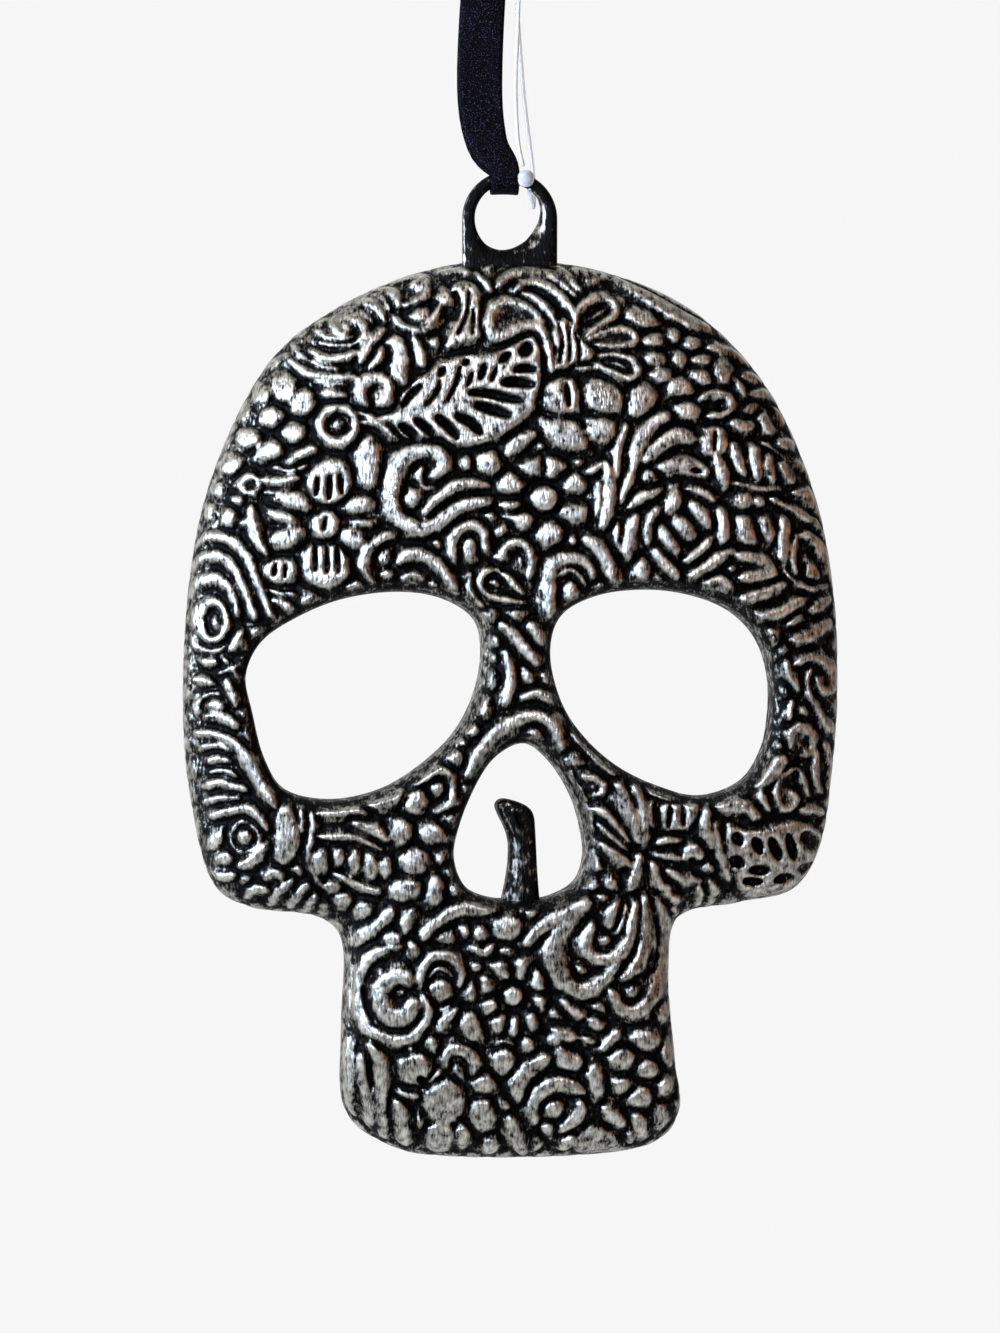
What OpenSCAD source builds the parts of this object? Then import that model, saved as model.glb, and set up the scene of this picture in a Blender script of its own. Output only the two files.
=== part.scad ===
/* [Skull] */
// Height of the skull from chin to crown
skull_h = 125.4; // [112:0.2:140]
// Width of the skull at the temples
skull_w = 91.8; // [84:0.2:100]
// Depth of the bare plate from its back rim to the middle of the face
face_depth = 11; // [9.5:0.1:14]
// Thickness of the hollow casting
wall = 2.4; // [1.8:0.1:2.8]
// Height of the straight side behind the rolled edge
side_wall = 3.2; // [2.9:0.1:4.5]
// Distance of the back rim behind the plane that the ring hangs in
rim_offset = 5.6; // [4.8:0.1:6.4]

/* [Openings] */
// How far the rolled edge of an eye or of the nose spreads over the face
flare = 1.9; // [0.8:0.1:2.4]
// How deep the rolled edge turns in
flare_depth = 2.6; // [1.4:0.1:3.4]
// Depth of the walls round the openings, from the face backwards
collar = 7; // [5.5:0.1:8]

/* [Relief] */
// Height of the ridges, petals and beads above the plate
relief_h = 1.7; // [1:0.1:2.2]
// How boldly the ridges and beads are drawn, against the widths in their tables
relief_spread = 1.25; // [0.9:0.05:1.35]
// Bare border between the relief and an opening
bare_edge = 0.8; // [0.4:0.1:1.4]

/* [Nose bone] */
// Depth of the bone that stands in the nose
bone_depth = 4.4; // [3:0.1:4.8]
// Distance of the bone's front behind the middle of the face
bone_setback = 1.4; // [1.2:0.1:2]

/* [Ring] */
// Outer radius of the hanging ring
ring_r = 6.65; // [6.2:0.05:7.4]
// Thickness of the ring's bar, measured towards the ring's middle
ring_bar = 1.75; // [1.5:0.05:1.9]
// Thickness of the ring's bar from front to back
ring_deep = 2.2; // [1.8:0.05:2.3]
// Height of the ring's middle above the crown
ring_rise = 5.5; // [5.2:0.1:6]
// Distance of the ring to the left of the middle
ring_shift = 0.6; // [0:0.1:1.2]
// Depth of the flat seat under the crown that the ring's foot stands on
seat_deep = 3; // [2.7:0.1:3.6]

/* [Ribbon] */
// Distance from the hook down to the bar of the ring
hang_drop = 71; // [60:1:90]
// Width of the satin ribbon
ribbon_w = 6; // [5:0.1:6.6]
// Thickness of the satin ribbon
ribbon_t = 0.35; // [0.25:0.01:0.4]
// Radius that the ribbon bends to round the bar of the ring
bight_r = 2.3; // [2.1:0.05:2.4]
// Radius of the knot
knot_r = 3.4; // [2.6:0.1:4]
// Length of the ribbon's tails above the knot
tail_l = 16; // [10:1:24]

/* [Tag fastener] */
// Thickness of the nylon filament
tag_t = 0.55; // [0.45:0.05:0.6]
// Length of the folded nylon loop
tag_l = 34.4; // [30:0.2:40]
// Diameter of the lock that joins its ends
lock_d = 2.3; // [2:0.1:2.6]

/* [Hidden] */
overrun = 1;
// Shares are hundredths of the skull's height. Across the face they follow the skull's width.
width_share = 73.2;
middle_share = 51.5;
unit_x = skull_w / width_share;
unit_z = skull_h / 100;
// Half outline and opening points, clockwise from the top, in shares from the middle line and the chin
outline_share = [[0, 100], [11, 98.5], [21, 93.9], [28.8, 85.6], [34, 74], [36.2, 62.6],
    [36.6, 51.5], [36, 43], [34.7, 34.8], [31.6, 29.7], [25.4, 28.2], [18.6, 26.6], [17.4, 20.4],
    [18.1, 11], [18.6, 4.8], [15.4, 1.2], [7, 0], [-6, 0], [-13.4, 1.2], [-18.7, 5.4], [-19.1, 14],
    [-18.9, 23.4], [-21.6, 26.8], [-29.2, 28], [-33.4, 30.8], [-35.5, 38.4], [-36.6, 48.4],
    [-36.1, 62.6], [-33.6, 75.2], [-27.6, 87.7], [-20, 94.2], [-10, 98.6]];
left_eye_share = [[-13.5, 62.9], [-8.4, 62.3], [-4.6, 60], [-3.7, 56.2], [-4.6, 51.4],
    [-6.9, 47.1], [-10.6, 43.6], [-15, 41], [-20.4, 39.9], [-25.4, 41], [-27.8, 44.6],
    [-29.1, 49.6], [-29.8, 53.6], [-28.2, 57.2], [-24.6, 59.8], [-19.4, 62]];
right_eye_share = [[15, 63.2], [20.2, 62.5], [24.4, 60.7], [27.2, 57.7], [28.5, 53.8], [28.6, 49.6],
    [27.8, 45.4], [25.4, 41.8], [20.8, 40.2], [16, 41.3], [11.4, 43.5], [7.6, 46.8], [5, 50.8],
    [3.8, 56], [5, 60.2], [9.2, 62.5]];
nose_share = [[0.6, 46.1], [2.4, 45.5], [4.6, 43.2], [6.4, 40], [7.4, 36.6], [7.7, 33.4],
    [6.6, 30.6], [3.6, 29], [0.4, 28.8], [-3, 29], [-5.7, 30.4], [-6.9, 33.6], [-6.3, 37],
    [-4.9, 40.6], [-3.2, 43.6], [-1.4, 45.3]];
bone_share = [[-1.6, 28.2], [-1.1, 30.6], [-0.8, 33], [-0.8, 35], [-1.3, 36.7], [-2, 38.2],
    [-2.2, 39.4], [-1.5, 40], [0, 39.7], [1.3, 39.1], [2, 38], [2.2, 36], [2.4, 32], [2.9, 28.2]];
// Left, right, floor and top of the flat seat that the bone stands on
bone_seat_share = [-2.1, 3.4, 28.2, 30.2];
// The plate's rings from its side to the middle of the face, as shares of each ray
front_ring_share = [1, 0.985, 0.95, 0.88, 0.77, 0.63, 0.45];
hollow_ring_share = [1, 0.9, 0.72, 0.45];
// The share of each ray where the face is flat, and the curve from there to the side
flat_share = 0.45;
edge_power_share = 3;
edge_root_share = 0.45;
// A ridge's foot under the face, its flat crest and its narrow tip
foot_depth = 0.6 * relief_h;
crest_share = 0.42;
tip_share = 0.4;
blunt_tip_share = 0.7;
sharp_ridge_share = 1.3;
// A bead's levels as shares of its width and height, for small beads and for the others
small_bead_share = 1.5;
small_levels_share = [[0.5, 1]];
bead_levels_share = [[0.86, 0.62], [0.42, 1]];
bead_sides = 6;
// A daisy's middle and petals as shares of its radius
daisy_share = [0.27, 0.72, 0.29, 0.62];
// Loops, leaf edges, ribs and veins, along the loop or leaf and across it
loop_share = [[0, 0.3], [0.3, 0.72], [0.62, 1], [0.87, 0.78], [1, 0], [0.87, -0.78], [0.62, -1],
    [0.3, -0.72], [0, -0.3]];
leaf_share = [[0, 0.2], [0.2, 0.62], [0.5, 1], [0.8, 0.85], [1, 0.04], [0.8, -0.85], [0.5, -1],
    [0.2, -0.62], [0, -0.2]];
leaf_rib_share = [[0.08, 0], [0.45, 0.02], [0.9, 0]];
vein_share = [[0, 0.12], [0.1, 0.72]];
vein_step_share = 0.4;
arc_step = 30;
slice_t = 0.05;
turn_step = 30;
// The part under the crown that stays solid for the ring's foot
pad_x = ring_r + wall;
pad_z = seat_deep + 1.7 * wall;
ring_mid = ring_r - ring_bar / 2;
// The ribbon's front strand upwards from the ring's bar: across and up in hundredths of its drop,
// forwards in shares of the bend round the bar, and its width as a share of the ribbon's
strand_share = [[-1.9, 1, 0, 0.64], [-4.2, 0.98, 4, 0.8], [-5.3, 0.95, 10, 0.92],
    [-5.6, 0.88, 20, 1], [-5, 0.8, 40, 1], [-3.2, 0.72, 60, 1], [-1.4, 0.64, 79, 1],
    [-0.3, 0.58, 91, 1], [0, 0.42, 97, 0.84], [0, 0.24, 100, 0.6]];
bight_steps = 8;
ribbon_section_share = [[-1, 0.4], [-0.94, 1], [0.94, 1], [1, 0.4], [1, -0.4], [0.94, -1],
    [-0.94, -1], [-1, -0.4]];
// The knot's shape against its radius, the height of its middle and of the tails' ends in it
knot_shape_share = [1, 0.72, 0.6];
knot_middle_share = 0.62;
tail_foot_share = 0.9;
tail_spread = 14;
// The nylon loop from its lock, down through the ring, up behind the ribbon and back, in hundredths
// of its length from the ring's bar
tag_share = [[5.2, -9.4, -6.1], [6.4, -6.4, -9.3], [7.6, -2.9, -11.3], [8.1, 1.2, -11.9], [8.7, 5.5, -9.9],
    [9, 8.7, -2.9], [8.1, 9.6, 8.7], [5.2, 9.3, 32], [2.9, 8.1, 58], [1.5, 6.1, 77], [1.2, 2.6, 88.4],
    [1.2, -1.5, 91.3], [1.2, -5.5, 88.4], [1.2, -8.1, 75.6], [0.6, -9.6, 58], [-0.3, -10.2, 35],
    [0.6, -10.5, 14.5], [2.7, -10.7, 3.2]];
tag_sides = 6;
lock_share = [3.8, -10.8, -1.7];
metal = "#8f8f8c";
bright = "#bfc1c0";
dark = "#2b2b2e";
clear = "#eef0f0";
// The ring's bar hangs this far under the hook, and the skull under the ring
bar_z = -hang_drop;
ring_z = bar_z - ring_mid;
crown_z = ring_z - ring_rise;
chin_z = crown_z - skull_h;
middle_z = chin_z + middle_share * unit_z;
seat_z = crown_z - seat_deep;
front_y = rim_offset - face_depth;
collar_y = front_y + collar;

function spline_at(a, b, c, d, t) = 0.5 * (2 * b + (c - a) * t + (2 * a - 5 * b + 4 * c - d) * t * t
    + (3 * b - a - 3 * c + d) * t * t * t);
// A smooth closed curve through the points, with steps points for each
function closed_curve(p, steps) = [for (i = [0 : len(p) - 1], k = [0 : steps - 1])
    spline_at(p[(i + len(p) - 1) % len(p)], p[i], p[(i + 1) % len(p)], p[(i + 2) % len(p)], k / steps)];
function unit(v) = v / max(norm(v), 1e-9);
// Where a point given in shares lies on the face, as [x, z]
function place(p) = [p[0] * unit_x, chin_z + p[1] * unit_z];
outline = [for (p = closed_curve(outline_share, 2)) place(p) - [0, middle_z]];
ray_table = [for (turn = [-360, 0, 360], p = outline) [atan2(p[1], p[0]) + turn, norm(p)]];
function share_out(x, z) = min(1, norm([x, z - middle_z]) / lookup(atan2(z - middle_z, x), ray_table));
// Height of the face over the back rim, for a share of the way from the middle to the outline
function rise(s) = side_wall + (face_depth - side_wall)
    * pow(max(1 - pow(max(s - flat_share, 0) / (1 - flat_share), edge_power_share), 0), edge_root_share);
function on_face(p, lift) = [p[0], rim_offset - rise(share_out(p[0], p[1])) - lift, p[1]];
function scaled_ring(s, y, inset) = [for (p = outline)
    let (q = p * s * (1 - inset / norm(p))) [q[0], y, q[1] + middle_z]];

// A closed solid through rings of equally many points
module solid(rings) {
    m = len(rings[0]);
    n = len(rings);
    sides = [for (i = [0 : n - 2], j = [0 : m - 1])
        let (a = i * m + j, b = i * m + (j + 1) % m) each [[a, a + m, b], [b, a + m, b + m]]];
    last = (n - 1) * m;
    ends = [for (j = [1 : m - 2]) each [[0, j, j + 1], [last, last + j + 1, last + j]]];
    polyhedron([for (r = rings) each r], concat(sides, ends), convexity = 6);
}

// The skull's outer form, closed at the back
module plate_form() {
    front = [for (i = [len(front_ring_share) - 1 : -1 : 0]) let (s = front_ring_share[i])
        scaled_ring(s, rim_offset - rise(s), 0)];
    solid(concat(front, [scaled_ring(1, rim_offset, 0)]));
}

// The hollow behind the face, open at the back
module hollow() {
    rings = [for (i = [len(hollow_ring_share) - 1 : -1 : 0]) let (s = hollow_ring_share[i])
        scaled_ring(s, rim_offset - rise(s) + wall, wall)];
    solid(concat(rings, [scaled_ring(1, rim_offset + overrun, wall)]));
}

module opening_profile(points_share, grow) {
    offset(delta = grow) polygon([for (p = closed_curve(points_share, 2)) place(p)]);
}

// Stands a flat profile up in the face's plane between two depths
module upright(from_y, to_y) {
    translate([0, to_y, 0]) rotate([90, 0, 0]) linear_extrude(to_y - from_y) children();
}

// The hole of an eye or of the nose, with its edge rolled in
module opening_cut(points_share) {
    upright(front_y - relief_h - overrun, rim_offset + overrun) opening_profile(points_share, 0);
    for (turn = [0 : turn_step : 90 - turn_step]) hull() {
        roll_slice(points_share, turn);
        roll_slice(points_share, turn + turn_step);
    }
}

module roll_slice(points_share, turn) {
    y = front_y + flare_depth * (1 - cos(turn));
    upright(turn == 0 ? y - overrun : y, y + slice_t)
        opening_profile(points_share, flare * (1 - sin(turn)));
}

module all_openings() {
    opening_cut(left_eye_share);
    opening_cut(right_eye_share);
    opening_cut(nose_share);
}

// The flat floor in the nose that the bone stands on
module bone_seat() {
    low = place([bone_seat_share[0], bone_seat_share[2]]);
    high = place([bone_seat_share[1], bone_seat_share[3]]);
    translate([low[0], front_y + bone_setback, low[1]])
        cube([high[0] - low[0], rim_offset - front_y, high[1] - low[1]]);
}

// The plate without its hollow, which the reliefs are seated on
module plate_block() {
    difference() {
        plate_form();
        all_openings();
        bone_seat();
    }
}

// The notch in the crown for the ring's foot
module ring_seat() {
    translate([-ring_shift - ring_r, -ring_deep / 2, seat_z])
        cube([ring_r * 2, ring_deep, seat_deep + overrun]);
}

module skull_plate() {
    color(metal) difference() {
        plate_block();
        ring_seat();
        difference() {
            hollow();
            for (p = [left_eye_share, right_eye_share, nose_share])
                upright(front_y - overrun, collar_y) opening_profile(p, wall);
            translate([-ring_shift - pad_x, front_y, crown_z - pad_z])
                cube([pad_x * 2, face_depth - side_wall, pad_z]);
        }
    }
}

module nose_bone() {
    color(metal) upright(front_y + bone_setback, front_y + bone_setback + bone_depth)
        polygon([for (p = bone_share) place(p)]);
}

// The ring and its foot, which fills the corners between the ring and the flat seat
module hanging_ring() {
    corner = 0.45 * min(ring_bar, ring_deep);
    color(metal) translate([-ring_shift, 0, ring_z]) rotate([90, 0, 0]) union() {
        rotate_extrude($fn = 96) translate([ring_mid, 0]) hull() for (sx = [-1, 1], sy = [-1, 1])
            translate([sx * (ring_bar / 2 - corner), sy * (ring_deep / 2 - corner)])
                circle(corner, $fn = 24);
        translate([0, 0, -ring_deep / 2]) linear_extrude(ring_deep) difference() {
            translate([-ring_r, seat_z - ring_z]) square([ring_r * 2, ring_z - seat_z]);
            circle(ring_mid, $fn = 96);
        }
    }
}

// A ridge along a line of shares. A wide one has a flat crest, a narrow one a sharp crest,
// and the ends taper.
module ridge(line_share, w_share, taper = tip_share) {
    line = [for (p = line_share) place(p)];
    last = len(line) - 1;
    half = w_share * relief_spread * unit_z / 2;
    solid([for (i = [0 : last])
        let (along = unit(line[min(i + 1, last)] - line[max(i - 1, 0)]),
            across = [-along[1], along[0]] * half,
            full = taper + (1 - taper) * pow(sin(180 * i / last), 0.5),
            tall = relief_h * (0.6 + 0.4 * full), crest = across * full * crest_share,
            foot = [on_face(line[i] - across * full, -foot_depth),
                on_face(line[i] + across * full, -foot_depth)])
        concat(foot, w_share < sharp_ridge_share ? [on_face(line[i], tall)]
            : [on_face(line[i] + crest, tall), on_face(line[i] - crest, tall)])]);
}

// An oval bead or petal, half_x wide and half_z long to each side before it is turned
module bead(x, z, half_x, half_z, turn) {
    levels_share = half_x * half_z < small_bead_share ? small_levels_share : bead_levels_share;
    levels = concat([[1, -foot_depth]], [for (v = levels_share) [v[0], v[1] * relief_h]]);
    solid([for (level = levels) [for (j = [0 : bead_sides - 1])
        let (a = 360 * j / bead_sides, grow = level[0] * relief_spread,
            u = half_x * cos(a) * grow, v = half_z * sin(a) * grow)
        on_face(place([x + u * cos(turn) - v * sin(turn), z + u * sin(turn) + v * cos(turn)]), level[1])]]);
}

// Petals round a middle bead
module daisy(x, z, r, petals, start) {
    bead(x, z, r * daisy_share[0], r * daisy_share[0], 0);
    for (i = [0 : petals - 1]) let (a = start + 360 * i / petals)
        bead(x + r * daisy_share[1] * cos(a), z + r * daisy_share[1] * sin(a), r * daisy_share[2],
            r * daisy_share[3] * sin(180 / petals), a);
}

// A bent line about a middle. It winds inwards where its end is less than 1.
module arc(x, z, half_x, half_z, from, to, w_share, end_share) {
    n = max(3, ceil(abs(to - from) / arc_step));
    ridge([for (i = [0 : n])
        let (a = from + (to - from) * i / n, now = 1 + (end_share - 1) * i / n)
        [x + half_x * now * cos(a), z + half_z * now * sin(a)]], w_share);
}

function beside(base, tip, q, half) =
    let (along = tip - base) base + along * q[0] + unit([-along[1], along[0]]) * q[1] * half;

// A long loop that runs from its base round its tip and back
module loop(base, tip, half, w_share) {
    ridge([for (q = loop_share) beside(base, tip, q, half)], w_share, blunt_tip_share);
}

// A leaf with an edge all round, a rib down the middle and slanting veins
module leaf(base, tip, half, w_share, veins) {
    ridge([for (q = leaf_share) beside(base, tip, q, half)], w_share, blunt_tip_share);
    ridge([for (q = leaf_rib_share) beside(base, tip, q, half)], w_share);
    for (side = [-1, 1], i = [1 : veins]) let (k = (i + vein_step_share * side / 2) / (veins + 1))
        ridge([for (q = vein_share) beside(base, tip, [k + q[0], q[1]], side * half)], w_share,
            blunt_tip_share);
}

// Ridges as [width, points], beads as [x, z, half width, half height, turn]
forehead_ridges_share = [[1.2, [[-21.5, 93], [-19.4, 94.3], [-17, 94.2], [-15.7, 92.6]]],
    [1.2, [[-18.6, 95.3], [-15.9, 95.4], [-14.2, 92.6]]],
    [1.2, [[-14.8, 96.6], [-12.9, 95.4], [-12.4, 93.9]]],
    [1.5, [[-24.9, 89.9], [-23.6, 87.6], [-20.8, 86.2], [-17.6, 86.1]]],
    [1.6, [[-22.5, 89.3], [-20.4, 87.9], [-18, 88.7]]],
    [1.1, [[-17.1, 87.4], [-15.6, 89.4], [-14.9, 91.4]]],
    [1.1, [[-13.4, 93.4], [-12, 91.6], [-10, 91.4], [-8.9, 93.4], [-7.8, 95.8]]],
    [1.2, [[-12.6, 91.2], [-11, 89], [-10.4, 87.2]]],
    [2.2, [[-5.3, 97], [-4.4, 94.6], [-5.6, 92.2], [-7.4, 90]]],
    [1.2, [[-0.6, 98.3], [3.2, 98.6], [6.4, 97], [7.3, 95.8]]],
    [1.3, [[10.9, 97.7], [14.2, 95.9], [18, 93.6], [21.2, 91.5]]],
    [1.1, [[-1.4, 78.2], [0, 79.7], [1.7, 80.6]]], [1.2, [[21.3, 89.9], [24, 89.3], [26, 88]]],
    [1.2, [[22.4, 88.3], [23.6, 86.4], [24.8, 84.6], [25.4, 82.9]]],
    [1.1, [[25.9, 84.8], [27.6, 85.3], [29, 85.2]]], [1.2, [[24, 81.8], [26.4, 81.1]]],
    [1.1, [[27.2, 82.8], [28.2, 80.8]]], [1.1, [[29.4, 80.1], [31.4, 79.4]]],
    [1.6, [[8.8, 77], [9.9, 75.6], [9.9, 72.6], [9.2, 70.2]]],
    [1.2, [[11, 72.4], [10.6, 76.2], [10.6, 79.6], [11.9, 82]]],
    [1.4, [[11.9, 75.2], [13.2, 79], [16, 82.4]]], [1.2, [[13.4, 77.4], [15.4, 79.8], [19.6, 80.2]]],
    [1.5, [[13.2, 75.8], [16.6, 77.1], [21, 76]]], [1.1, [[12.2, 72.3], [13.4, 73.7], [15.3, 74.3]]],
    [1.3, [[-28.3, 75], [-26.2, 74.5], [-23.6, 75.3]]], [1.2, [[-25.2, 77], [-22.6, 78.5]]],
    [1.2, [[-29.1, 71.8], [-28.8, 69.4], [-27.6, 67.2]]], [1.5, [[-9.7, 75.9], [-7.9, 76.8],
    [-9.4, 78.5], [-12.4, 78.3], [-14, 76], [-14.2, 72.9], [-13.2, 70.5], [-10.6, 70.2], [-8.2, 71.5],
    [-5.4, 72.6], [-3.2, 72.3]]],  [1.2, [[-10.4, 71.9], [-8.6, 73.6], [-6, 74.8], [-3.7, 74.7]]],
    [1.1, [[-16.4, 64.5], [-17.2, 66.2], [-15.9, 68.2], [-13.4, 69.2]]],
    [1.1, [[-13, 65.7], [-11.6, 66.8], [-9.6, 66.2], [-7.6, 64]]],
    [1.3, [[-7.9, 65.6], [-7.5, 68.5], [-5.6, 69.8], [-3.9, 68.6], [-4.9, 67]]],
    [1.1, [[3.4, 61], [3.2, 64.6], [4.4, 66.5], [6.8, 66.4], [8, 64.6]]],
    [1.2, [[7.6, 68.8], [9.7, 67], [10.5, 64.4]]],
    [1.2, [[21.2, 65.2], [23.4, 67.2], [26.4, 66.9], [28.7, 66], [29.5, 64.4]]],
    [1.2, [[29.7, 71.2], [29.7, 68.8], [30, 66.4]]], [1.4, [[25, 63], [27.2, 63.2], [29.4, 63.6]]],
    [1.2, [[27.1, 60.5], [29.6, 60.8], [32, 62.4]]], [1.2, [[30.4, 57.7], [32.8, 58.2], [34.8, 59.5]]],
    [0.9, [[31, 74.2], [32.8, 73], [34.3, 70.6]]],
    [0.9, [[-1.8, 65.3], [-1.9, 67.3], [-0.6, 68.3], [0.9, 67], [1.2, 64.4], [0.8, 62]]],
    [0.9, [[-1.8, 65.4], [-3.5, 65.3], [-4.6, 63.9], [-3.7, 62.6], [-1.4, 61.9], [0.7, 61.9]]],
    [1.4, [[26, 74], [24.3, 75.6], [22.2, 77.8]]], [1.4, [[26.3, 74.1], [25.5, 76.5], [24.4, 79.4]]],
    [1.4, [[26.6, 73.9], [26.8, 76.7], [26.9, 79.4]]], [1.4, [[26.9, 74.2], [27.9, 76], [29.3, 78.2]]],
    [1.4, [[27.2, 73.8], [28.8, 74.8], [31, 75.8]]]];
forehead_beads_share = [[-11.3, 97, 1.2, 1.1, 0], [-10.6, 93.2, 1, 0.9, 0], [-8.5, 97.1, 0.9, 0.8, 0],
    [-13.2, 88.6, 0.8, 1.9, -14], [-20.8, 84.7, 1.3, 0.7, 0], [-16.2, 77.2, 0.95, 2.6, 0],
    [-29.6, 74.4, 1.1, 1, 0], [-31.9, 77.4, 0.9, 1, 0], [-32.6, 73.4, 0.8, 1, 0], [-32, 70.9, 0.9, 1.1, 0],
    [-3.9, 76.6, 0.9, 1.1, -20], [8.6, 97.7, 1.9, 0.9, -8], [13.5, 93.4, 1.7, 1.1, -20],
    [13.6, 84.1, 1.2, 1.6, -20], [18.7, 83.1, 1.3, 0.7, 0], [4.6, 84.6, 1.3, 1.7, 0],
    [9.3, 84.7, 1.8, 1.4, -15], [5.3, 80.6, 1.9, 1.3, -12], [9.1, 81.1, 1.4, 1.2, 0],
    [5.9, 63.4, 0.7, 0.9, 0], [24.1, 72.2, 0.8, 0.9, 0], [25.3, 69.6, 0.8, 1.6, 20],
    [27.6, 69.4, 0.8, 1.5, 20], [22.3, 64.4, 1.3, 0.6, -8], [18.3, 69.8, 1, 1.5, 25]];
// Arcs as [x, z, half width, half height, from, to, ridge width, end against start]
forehead_arcs_share = [[-19, 92, 3, 2.2, 200, -304, 1, 0.3], [-15.3, 84.7, 2, 2, 150, -138, 1.2, 0.6],
    [-19.7, 81.3, 1.9, 1.9, 0, 340, 1, 1], [18.3, 69.8, 2.5, 2.6, 20, 110, 1.2, 1],
    [18.3, 69.8, 2.5, 2.6, 140, 230, 1.2, 1], [18.3, 69.8, 2.5, 2.6, 260, 350, 1.2, 1],
    [18.3, 69.8, 4.2, 4.3, -10, 46, 1.2, 1], [18.3, 69.8, 4.2, 4.3, 62, 118, 1.2, 1],
    [18.3, 69.8, 4.2, 4.3, 134, 190, 1.2, 1], [18.3, 69.8, 4.2, 4.3, 206, 262, 1.2, 1],
    [18.3, 69.8, 4.2, 4.3, 278, 334, 1.2, 1], [18.3, 69.8, 6, 5.6, 0, 44, 1.1, 1],
    [18.3, 69.8, 6, 5.6, 60, 104, 1.1, 1], [18.3, 69.8, 6, 5.6, 120, 164, 1.1, 1]];
// Loops as [base, tip, half width, ridge width], leaves with a number of veins too,
// and daisies as [x, z, radius, petals, start]
forehead_loops_share = [[[4.5, 89.7], [-3, 93.2], 1.6, 0.9], [[4.7, 89.9], [1.4, 97.2], 1.6, 0.9],
    [[5.4, 89.9], [10.4, 96], 1.6, 0.9], [[5.6, 89.6], [13.2, 92], 1.6, 0.9],
    [[5.6, 89.3], [12.7, 87.6], 1.6, 0.9], [[20.1, 83.8], [24, 84.3], 1.2, 0.9],
    [[31, 64.6], [32.3, 69.2], 1.6, 0.9]];
forehead_leaves_share = [[[-17.6, 82.4], [2.2, 85.7], 4.4, 1, 6]];
forehead_daisies_share = [[-26.6, 82.4, 4, 7, 12], [-21.4, 70.2, 6.2, 6, 32], [2.5, 73.1, 4.5, 8, 12],
    [17.9, 88.6, 3.8, 8, 24]];
bridge_ridges_share = [[1.2, [[-1.8, 59.2], [0, 57.2], [1.2, 55.4], [2.6, 54]]],
    [1.2, [[1.3, 59.4], [2.3, 57.2]]], [1.1, [[-1.4, 56.2], [-0.8, 53.4], [-1.4, 50.5]]],
    [1, [[0.5, 51.2], [2, 51.8], [3.6, 50.8]]],
    [1.3, [[-5.6, 42.6], [-4.5, 45], [-2.8, 47.1], [-0.4, 48.6], [2, 49.1], [3.9, 48], [4.8, 45.6]]],
    [0.9, [[6.4, 46.6], [7.9, 44.9], [10, 43.2]]]];
left_ridges_share = [[1.2, [[-34.6, 55.3], [-32.7, 55.4]]], [1.1, [[-31.5, 57.3], [-30.4, 58.9]]],
    [1.1, [[-31.4, 52.6], [-30.9, 50]]], [1.2, [[-34.8, 48.6], [-32.6, 48.5], [-30.7, 46.8]]],
    [1.3, [[-34.6, 47], [-32.4, 46.7], [-30.1, 44.4], [-28.3, 41.8], [-27, 39.6]]],
    [1.1, [[-33.8, 44.6], [-32, 44.5]]], [1.3, [[-33.6, 42.3], [-31.6, 42.3], [-30, 41.2]]],
    [1.1, [[-32.8, 38.4], [-30, 39], [-27.8, 37]]],
    [1.1, [[-32, 36.9], [-31.3, 34.6], [-29.3, 34.2], [-27.9, 35.4]]],
    [2.2, [[-25.5, 38.9], [-25.4, 36.4], [-25.9, 33.6]]],
    [0.9, [[-22.9, 36.6], [-23.1, 33.4], [-21.4, 30.5]]],
    [1.2, [[-22, 38], [-18.8, 38.2], [-16, 37.6], [-13.8, 36.6]]],
    [1, [[-21.8, 36], [-18.8, 35.9], [-16, 34.7]]], [1.1, [[-20.2, 31.6], [-17.8, 30.5], [-14.8, 30.2]]],
    [1.2, [[-28.8, 31.2], [-26.6, 31.6], [-25, 30.2]]]];
left_beads_share = [[-31.1, 54.4, 1, 1, 0], [-33.3, 50.5, 1.1, 1, 0], [-30.3, 36.6, 0.7, 0.7, 0],
    [-21.7, 33.6, 0.7, 1, 0], [-19.7, 33.7, 0.6, 1.1, 0], [-17.9, 33.4, 0.6, 1.1, 0],
    [-16.2, 32.8, 0.6, 1, 0], [-12.8, 36.4, 0.9, 1.2, 0], [-10.2, 36.2, 1.2, 0.9, 0],
    [-11.6, 33.2, 1.3, 1.2, 0], [-9.2, 30.4, 0.8, 1.2, 0], [-11.5, 40.4, 0.8, 1.2, -10],
    [-32, 32.6, 0.9, 0.9, 0], [-13.9, 33.2, 0.8, 1, 0]];
left_arcs_share = [[-33.6, 60.2, 1.3, 2.3, 0, 340, 0.9, 1], [-33.8, 60.2, 3.1, 4.6, -20, 95, 1, 1],
    [-33.8, 60.2, 4.8, 6.7, 5, 90, 1, 1], [-33.8, 60.2, 6.4, 8.9, 5, 90, 1.1, 1]];
left_loops_share = [[[-10.4, 38.8], [-8.3, 43.4], 1.2, 0.8]];
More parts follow.
